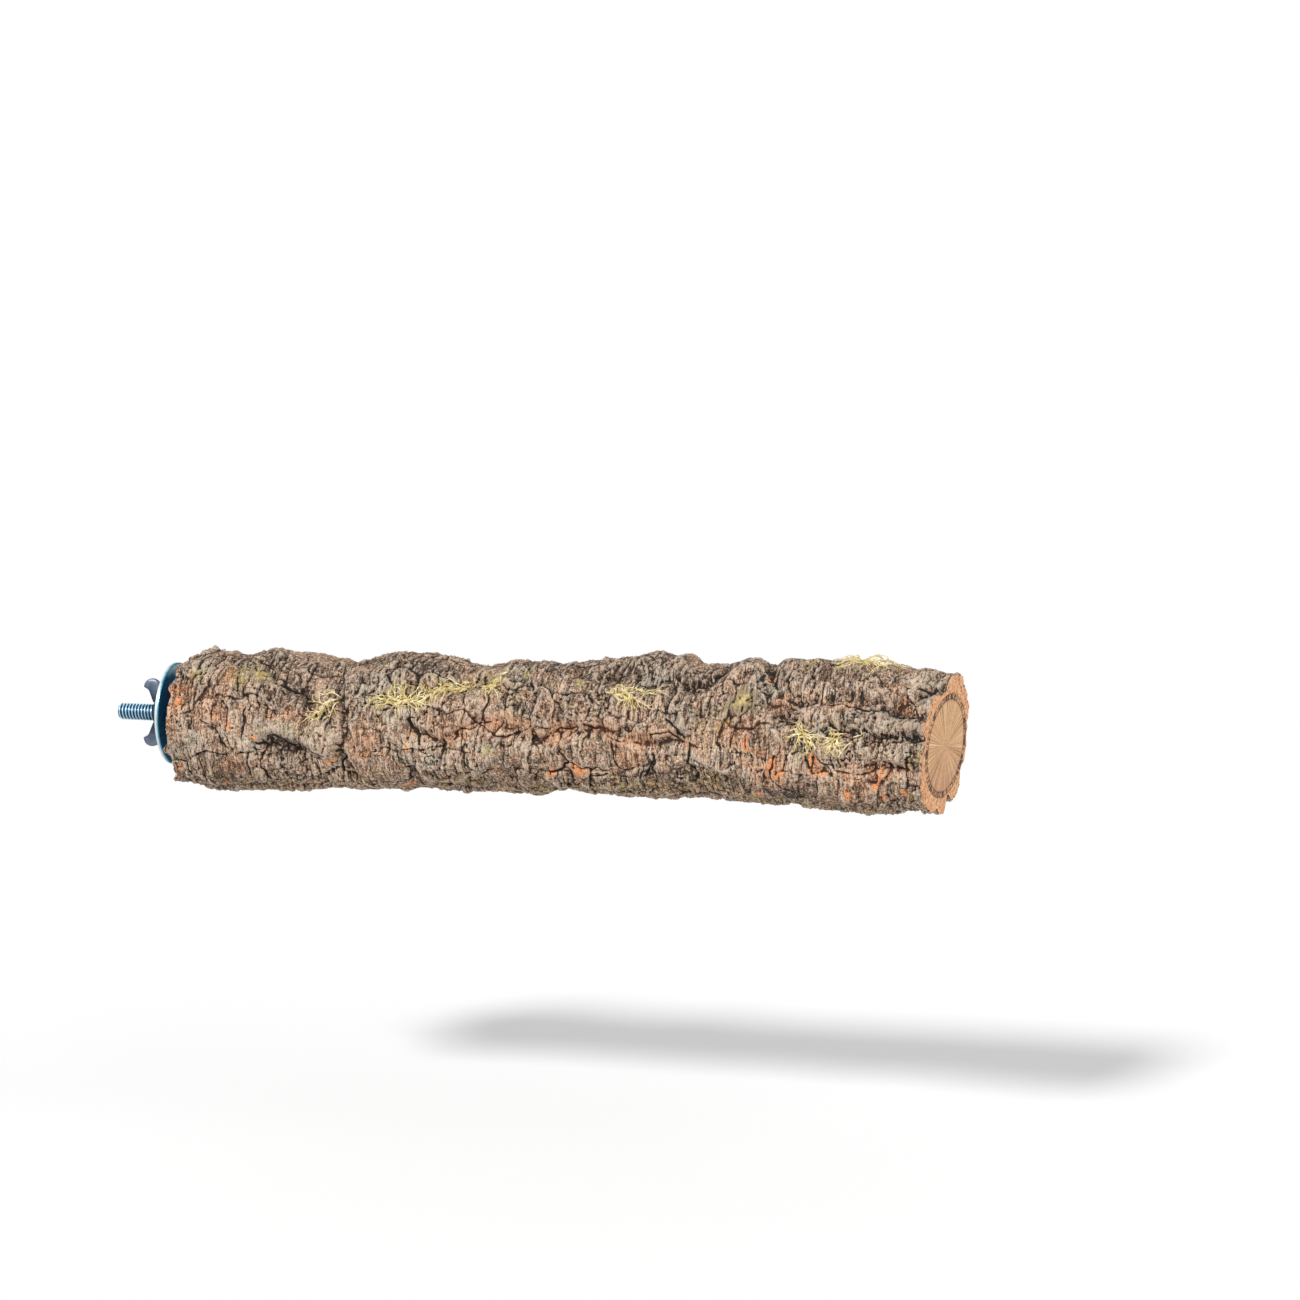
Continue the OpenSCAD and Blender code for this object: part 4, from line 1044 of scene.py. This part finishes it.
def beard(node, bark, share, line, count, way, seed, finish):
    """A tuft of beard lichen: threads rooted in clumps along a line, each with two thinner branches that
    leave it part of the way along. They set off along way: an angle from the log's length, its spread to
    both sides, and the share of threads that set off backwards."""
    shuffle = np.random.default_rng(SEED + seed)
    clumps = max(2, count // CLUMP)
    u = (shuffle.integers(0, clumps, count) + 0.5) / clumps
    (s0, t0), (s1, t1) = line
    spread = STRAY_SHARE * TUFT_W * share
    a = mix(s0, s1, u) * LOG_LENGTH + shuffle.normal(0, spread, count)
    c = mix(t0, t1, u) * GIRTH + shuffle.normal(0, spread, count)
    start = (a, c, np.full(count, -ROOT_DEPTH))
    length = shuffle.uniform(*THREAD_LENGTHS, count) * share
    top = TUFT_H * max(1, share)
    rise = shuffle.uniform(0.5, 1.0, count) * top * np.sin(math.pi * (0.25 + 0.7 * u))
    heading = way[0] + way[1] * shuffle.uniform(-1, 1, count) + math.pi * (shuffle.random(count) < way[2])
    main = threads(start, heading, length, shuffle.uniform(-1.5, 1.5, count), rise, seed + 1)
    paths, radii = [np.stack(main, -1)], [np.full(count, THREAD_R)]
    for k, at in enumerate((3, 6)):
        from_main = tuple(x[:, at] for x in main)
        heading = np.arctan2(main[1][:, at] - main[1][:, at - 1], main[0][:, at] - main[0][:, at - 1])
        heading += shuffle.choice([-1, 1], count) * shuffle.uniform(0.4, 0.9, count)
        side = threads(from_main, heading, length * shuffle.uniform(0.25, 0.45, count),
                       shuffle.uniform(-1.2, 1.2, count), rise * 0.15, seed + 2 + k)
        paths.append(np.stack(side, -1))
        radii.append(np.full(count, BRANCH_R))
    a, c, height = np.moveaxis(np.concatenate(paths), -1, 0)
    height = np.clip(height, -ROOT_DEPTH, top) + FLOOR_H
    path = bark.skin_point(np.clip(a, 0, LOG_LENGTH), c, height)
    radius = np.concatenate(radii)[:, None] * np.linspace(1, 0.5, THREAD_POINTS)
    outward = path * (0, 1, 1) - (0, 0, LOG_Z)
    mesh = skin(f"{node}_threads", tubes(path, radius, THREAD_SIDES, outward), caps=True)
    piece(f"{node}_threads", mesh, [finish], "perch", "beard_lichen", node)


# How far a pad reaches past its line, how high its rim and how deep its foot lie, its rings and points round
PAD_PAST, PAD_RIM_H, PAD_FOOT, PAD_RINGS, PAD_SIDES = 1.5, 0.05, 0.5, 30, 120


def crust(node, bark, share, line, seed, finish):
    """A pad of crust lichen: a disc with a lobed rim that follows the bark, its edge thin and its middle
    lumpy, closed by a foot in the bark. Rings run from the foot over the rim to the middle. The rim stands
    out by noises on the direction from the middle."""
    (s0, t0), (s1, t1) = line
    middle = (s0 + s1) / 2 * LOG_LENGTH, (t0 + t1) / 2 * GIRTH
    half = np.array([(s1 - s0) / 2 * LOG_LENGTH + PAD_PAST, PAD_W * share / 2])
    foot, top = [0.02, 0.5, 1.0], np.linspace(1, 0.02, PAD_RINGS)
    out = np.concatenate([foot, top])[:, None]
    a, c = np.cos(circle(PAD_SIDES)), -np.sin(circle(PAD_SIDES))
    around = 50 + 9 * a, 50 + 9 * c
    lobes = 0.80 + 0.18 * noise(*around, (5, 5), seed) + 0.14 * noise(*around, (1.6, 1.6), seed + 1)
    a, c = middle[0] + half[0] * out * lobes * a, middle[1] + half[1] * out * lobes * c
    lumps = 0.16 + 0.12 * layered_noise(a, c, (1.2, 1.2), seed + 2)
    height = PAD_H * lumps * (1 - out**6) + PAD_RIM_H
    height[: len(foot)] = -PAD_FOOT
    mesh = skin(f"{node}_pad", bark.skin_point(a, c, height), caps=True)
    give_numbers(mesh, "inward", np.broadcast_to(1 - out, a.shape))
    give_numbers(mesh, "hollow", grid_number(bark.numbers["hollow"], a, c))
    piece(f"{node}_pad", mesh, [finish], "perch", "crust_lichen", node)


def build_lichens(bark):
    """All tufts, then all pads, each kind with one finish."""
    finish = beard_finish()
    for k, (node, (share, line, count, way)) in enumerate(TUFTS.items()):
        beard(node, bark, share, line, count, way, 1000 + 20 * k, finish)
    finish = crust_finish()
    for k, (node, (share, line)) in enumerate(PADS.items()):
        crust(node, bark, share, line, 1300 + 20 * k, finish)


# Bolt, washers and nut


# Points round a washer, the bolt, the nut's hub and one of its wings
WASHER_SIDES, BOLT_SIDES, HUB_SIDES, WING_SIDES = 192, 64, 96, 40


def turned(x, radius, turn):
    """Points about the bolt: at x along it, at that radius, and turned from the top over the front."""
    x, y, z = np.broadcast_arrays(x, -radius * np.sin(turn), radius * np.cos(turn))
    return np.stack([x, y, z], -1)


def lathe(profile, sides):
    """Rings of a turned piece about the bolt: each point (x, radius) of the profile becomes a circle."""
    x, radius = np.asarray(profile, float).T[:, :, None]
    return turned(x, radius, circle(sides))


def rounded(corners, steps=6):
    """Points of a closed outline whose corners (x, radius, rounding) are quarter circles, in order."""
    points = []
    corners = [np.array(c, float) for c in corners]
    for k, here in enumerate(corners):
        before, after = corners[k - 1][:2], corners[(k + 1) % len(corners)][:2]
        back = (before - here[:2]) / np.linalg.norm(before - here[:2]) * here[2]
        on = (after - here[:2]) / np.linalg.norm(after - here[:2]) * here[2]
        for q in np.linspace(0, math.pi / 2, steps):
            points.append(here[:2] + back * (1 - math.sin(q)) + on * (1 - math.cos(q)))
    return points


# The washers' hole, the rounding of their rim and of the hole's edge, how far from each of these the rings
# of a flat face start, and their count; then the height over the bolt from which a face has a painted
# reflection, brighter upwards, and the length over which that grows
WASHER_HOLE_R, RIM_ROUNDING, HOLE_ROUNDING = 3.55, 0.3, 0.15
RIM_INSET, HOLE_INSET, FACE_RINGS, REFLECTION_Z, REFLECTION_LENGTH = 0.4, 0.2, 24, 12.5, 5.0


def washer(name, body, finish):
    """A pressed washer: a flat ring with a rounded rim and a slightly rounded hole. The half of its rim
    towards the nut is worn bright, the other half less, and its faces have a painted reflection that grows
    brighter towards the top."""
    x0, x1 = span(name, 0)
    outer = span(name, 2)[1]
    outline = rounded([(x0, outer, RIM_ROUNDING), (x1, outer, RIM_ROUNDING),
                       (x1, WASHER_HOLE_R, HOLE_ROUNDING), (x0, WASHER_HOLE_R, HOLE_ROUNDING)])
    radii = np.linspace(outer - RIM_INSET, WASHER_HOLE_R + HOLE_INSET, FACE_RINGS)
    front, back = [(x1, r) for r in radii], [(x0, r) for r in radii[::-1]]
    half = len(outline) // 2
    rings = lathe(outline[:half] + front + outline[half:] + back, WASHER_SIDES)
    mesh = skin(name, rings, loop=True)
    rim = np.where(rings[..., 0] < (x0 + x1) / 2, 1.0, 0.25)
    # Painted reflection: the faces are made brighter towards the top
    painted_reflection = 0.75 * ease((rings[..., 2] - REFLECTION_Z) / REFLECTION_LENGTH)
    radius = np.linalg.norm(rings[..., 1:], axis=-1)
    give_numbers(mesh, "worn", np.where(radius > outer - (RIM_INSET + RIM_ROUNDING) / 2, rim, painted_reflection))
    piece(f"{name}_pressed", mesh, [finish], body, "zinc_steel", name)


# The bolt: radius, and pitch and depth of the nut's thread; the neck; pitch and depth of the coarse thread
# for the wood, the length of its point and the radius of its end; then the steps between rings, fine on the
# nut's thread and coarse on the rest
BOLT_R, FINE_PITCH, FINE_DEPTH = 3.175, 1.27, 0.76
NECK_R, NECK_X0, NECK_X1 = 2.75, span("outer_washer", 0)[1], 5.6
COARSE_PITCH, COARSE_DEPTH, COARSE_POINT, POINT_R = 2.54, 1.05, 5.0, 0.4
FINE_STEP, COARSE_STEP = 0.07, 0.12

# Its bevelled end: how much smaller the end is, how far its edge is set back and the length over which that
# fades, and how far its face is crowned
BEVEL, EDGE_SETBACK, EDGE_LENGTH, END_CROWN = 0.9, 0.13, 0.2, 0.12


def thread_depth(x, turn, pitch):
    """Share of a thread's depth at a place, 0 on its crest and 1 in its root, with straight flanks between
    them. The crest winds right-handed: it moves along by one pitch in a turn."""
    place = (x / pitch - turn / (2 * math.pi)) % 1
    return np.interp(place, [0, 0.34, 0.46, 0.80, 1], [1, 0, 0, 1, 1])


def hanger_bolt(finish):
    """The bolt as one skin whose radius depends on the place along it and the turn round it: the fine
    thread with a bevelled end, the neck, and the coarse thread with a point. The first rings close the end
    face."""
    x0, x1 = span("hanger_bolt", 0)
    turn = circle(BOLT_SIDES)
    fine_x, coarse_x = np.arange(x0, NECK_X0, FINE_STEP), np.arange(NECK_X0, x1, COARSE_STEP)
    x = np.concatenate([fine_x, coarse_x, [x1]])[:, None]
    fine = np.minimum(BOLT_R - FINE_DEPTH * thread_depth(x, turn, FINE_PITCH), BOLT_R - BEVEL + (x - x0))
    point = POINT_R + (x1 - x) * (BOLT_R - POINT_R) / COARSE_POINT
    coarse = np.minimum(BOLT_R - COARSE_DEPTH * thread_depth(x, turn, COARSE_PITCH), point)
    radius = np.where(x < NECK_X0, fine, np.where(x < NECK_X1, NECK_R, coarse))
    x = x + EDGE_SETBACK * np.exp(-(x - x0) / EDGE_LENGTH)
    face_shares = np.array([0.15, 0.6, 0.9, 0.98])[:, None]
    face_x = x0 + END_CROWN * face_shares**2
    radius = np.concatenate([face_shares * radius[0], radius])
    mesh = skin("hanger_bolt", turned(np.concatenate([face_x, x]), radius, turn), caps=True)
    give_numbers(mesh, "worn", np.clip((radius - BOLT_R + 0.45) / 0.4, 0, 1))
    piece("hanger_bolt_threaded", mesh, [finish], "perch", "zinc_steel", "hanger_bolt")


# The nut: hub and bore radii, hub height and the bevel of its edges, then the wings' outline, thickness and
# turn, and the size of the cells in which hub and wings are melted together
HUB_R, HUB_TOP_R, BORE_R, HUB_H, HUB_BEVEL = 5.8, 5.1, 3.235, 7.0, 0.35
WING_REACH, WING_H, WING_TIP_R, WING_T, WING_TURN = 12.8, 12.1, 3.3, 2.8, math.radians(176)
MELT_CELL = 0.16

# Heights over the bearing face of a wing's lower edge at the bore, at the hub's rim and before the tip, and
# of its upper edge at the bore and before the tip
WING_LOWER, WING_UPPER = (0.9, 1.15, 3.5), (8.0, 10.2)


def wing(turn):
    """Rings of one wing, which stands up from the hub in the direction of its turn, stacked from the bore
    to the round tip. Each runs from the wing's lower edge to its upper one, as a flat rectangle with round
    corners: the fifth powers of a point's shares of the two half sides add up to 1. The tip's bend stops
    just short of a quarter turn, so that the last ring keeps some size."""
    tip = WING_REACH - WING_TIP_R
    bend = np.linspace(0, math.pi / 2, 12)[1:] * 0.985
    out = np.concatenate([np.linspace(BORE_R + 0.6, tip, 16), tip + WING_TIP_R * np.sin(bend)])[:, None]
    past = ((out - tip) / WING_TIP_R).clip(0)
    low = np.interp(out, [BORE_R, HUB_TOP_R, tip - 1, tip], [*WING_LOWER, WING_H - 2 * WING_TIP_R])
    high = np.interp(out, [BORE_R, tip - 1, tip], [*WING_UPPER, WING_H])
    half = (high - low) / 2 * np.sqrt(1 - past**2)
    thick = WING_T / 2 * np.interp(out, [BORE_R, HUB_R + 1, WING_REACH], [1.25, 1.0, 0.85])
    thick = thick * np.sqrt(1 - 0.8 * past**6)
    u, v = np.cos(circle(WING_SIDES)), np.sin(circle(WING_SIDES))
    bulge = (np.abs(u) ** 5 + np.abs(v) ** 5) ** (-1 / 5)
    x, side = -(low + high) / 2 - half * u * bulge, thick * v * bulge
    return np.stack([x, side * math.cos(turn) - out * math.sin(turn),
                     side * math.sin(turn) + out * math.cos(turn)], -1)


def melted(meshes):
    """One mesh from meshes that cross: joined, built anew from fine cells, and smoothed so that the joins
    become fillets."""
    things = [add(mesh.name, mesh) for mesh in meshes]
    with bpy.context.temp_override(active_object=things[0], selected_editable_objects=things):
        bpy.ops.object.join()
    rough = things[0]
    melt = rough.modifiers.new("melt", "REMESH")
    melt.mode, melt.voxel_size, melt.use_smooth_shade = "VOXEL", MELT_CELL * MM, True
    soften = rough.modifiers.new("soften", "SMOOTH")
    soften.factor, soften.iterations = 0.6, 6
    mesh = bpy.data.meshes.new_from_object(rough.evaluated_get(bpy.context.evaluated_depsgraph_get()))
    bpy.data.objects.remove(rough)
    mesh.materials.clear()
    return mesh


def wing_nut(finish):
    """A cast wing nut: a turned hub and two wings, melted into one skin whose bearing face is then made
    flat and set on the washer."""
    hub = lathe([(0, HUB_R - HUB_BEVEL), (-HUB_BEVEL, HUB_R), (-HUB_H + HUB_BEVEL, HUB_TOP_R),
                 (-HUB_H, HUB_TOP_R - HUB_BEVEL), (-HUB_H, BORE_R), (0, BORE_R)], HUB_SIDES)
    parts = [skin("hub", hub, loop=True)]
    for side in (0, math.pi):
        parts.append(skin("wing", wing(WING_TURN + side), caps=True))
    mesh = melted(parts)
    mesh.name = "wing_nut"
    places = np.zeros(len(mesh.vertices) * 3, np.float32)
    mesh.vertices.foreach_get("co", places)
    places = places.reshape(-1, 3)
    places[:, 0] = np.minimum(places[:, 0], 0) + span("wing_nut", 0)[1] * MM
    mesh.vertices.foreach_set("co", places.ravel())
    out = np.linalg.norm(places[:, 1:], axis=1) / MM
    give_numbers(mesh, "worn", np.interp(out, [HUB_R, WING_REACH], [0.2, 0.75]))
    piece("wing_nut_cast", mesh, [finish], "wing_nut", "zinc_steel", "wing_nut")


# Zinc plate on each kind of piece: its face, worn rim and edge tints, how much it mirrors and how dully.
# The worn rim tint also serves for the painted reflection on the washers' faces
ZINC = {
    "washers": ((0.22, 0.51, 0.63), (0.86, 0.90, 0.90), (0.30, 0.55, 0.65), 0.65, 0.2),
    "bolt": ((0.26, 0.46, 0.58), (0.92, 0.98, 1.00), (0.55, 0.75, 0.85), 1.0, 0.2),
    "nut": ((0.24, 0.27, 0.32), (0.46, 0.50, 0.56), (0.40, 0.46, 0.54), 0.8, 0.35),
}


def build_hardware():
    """Both washers, the bolt and the nut, each kind with its own zinc plate."""
    plate, bright, cast = (zinc_finish(f"zinc_{kind}", *look) for kind, look in ZINC.items())
    washer("inner_washer", "perch", plate)
    washer("outer_washer", "outer_washer", plate)
    hanger_bolt(bright)
    wing_nut(cast)


# Setting


# The floor: half its side and its height in metres, its tint, and the light that it gives only to the camera
FLOOR_REACH, FLOOR_Z, FLOOR_TINT, FLOOR_GLOW = 6.0, -0.16, 0.86, 0.14

# Strength of the room's light on the piece; the camera, mirrors and glass see it at 1
ROOM_LIGHT = 0.42

# Lamps: strength, the angle that the lamp fills in degrees, and its turn in degrees
LAMPS = {"key": (2.3, 9, (50, 0, -18)), "fill": (0.8, 60, (60, 0, 55))}

# The photograph's view, worked out from the washers, the bolt and the saw cut: the camera's place in metres
# from the middle of the grip, how far it looks down and aside in degrees, and its lens
EYE, LOOK_DOWN, LOOK_ASIDE = (0.46625, -1.10492, 0.18128), 7.55, 14.5
SENSOR_WIDTH, FOCAL_LENGTH = 36.0, 88.6


def floor():
    """A white floor that keeps the shadow of the perch."""
    material = bpy.data.materials.new("floor")
    tree = Tree(material)
    seen = tree.node("ShaderNodeLightPath", out="Is Camera Ray")
    matt = tree.node("ShaderNodeBsdfDiffuse", None, {"Color": (FLOOR_TINT,) * 3 + (1,)})
    glow = tree.node("ShaderNodeEmission", None, {"Color": (1, 1, 1, 1), "Strength": seen * FLOOR_GLOW})
    both = tree.node("ShaderNodeAddShader", None, {0: matt, 1: glow})
    tree.node("ShaderNodeOutputMaterial", None, {"Surface": both})
    mesh = bpy.data.meshes.new("floor")
    corners = [(FLOOR_REACH * x, FLOOR_REACH * y, FLOOR_Z) for x, y in ((-1, -1), (1, -1), (1, 1), (-1, 1))]
    mesh.from_pydata(corners, [], [(0, 1, 2, 3)])
    mesh.materials.append(material)
    ground = add("floor", mesh)


def room():
    """A white room: rays of the camera, of mirrors and of glass see it at full strength, others dimmer."""
    world = bpy.data.worlds.new("room")
    bpy.context.scene.world = world
    tree = Tree(world)
    unseen = 1
    for kind in ("Camera", "Glossy", "Transmission"):
        unseen = unseen * (1 - tree.node("ShaderNodeLightPath", out=f"Is {kind} Ray"))
    strength = 1 - unseen * (1 - ROOM_LIGHT)
    light = tree.node("ShaderNodeBackground", None, {"Color": (1, 1, 1, 1), "Strength": strength})
    tree.node("ShaderNodeOutputWorld", None, {"Surface": light})


def lamps():
    """A soft lamp high at the front left, and a weaker, softer one at the right."""
    for name, (strength, size, turn) in LAMPS.items():
        lamp = bpy.data.lights.new(name, "SUN")
        lamp.energy, lamp.angle = strength, math.radians(size)
        add(name, lamp).rotation_euler = [math.radians(x) for x in turn]


def camera():
    """The photograph's view."""
    lens = bpy.data.cameras.new("camera")
    lens.sensor_width, lens.lens = SENSOR_WIDTH, FOCAL_LENGTH
    lens.clip_start, lens.clip_end = 0.05, 50
    eye = add("camera", lens)
    eye.location = (EYE[0] + GRIP_X * MM, EYE[1], EYE[2])
    eye.rotation_euler = (math.radians(90 - LOOK_DOWN), 0, math.radians(LOOK_ASIDE))
    bpy.context.scene.camera = eye


camera()
floor()
room()
lamps()
bark = Bark()
build_log(bark)
build_lichens(bark)
build_hardware()

bpy.context.scene.view_settings.view_transform = "Standard"
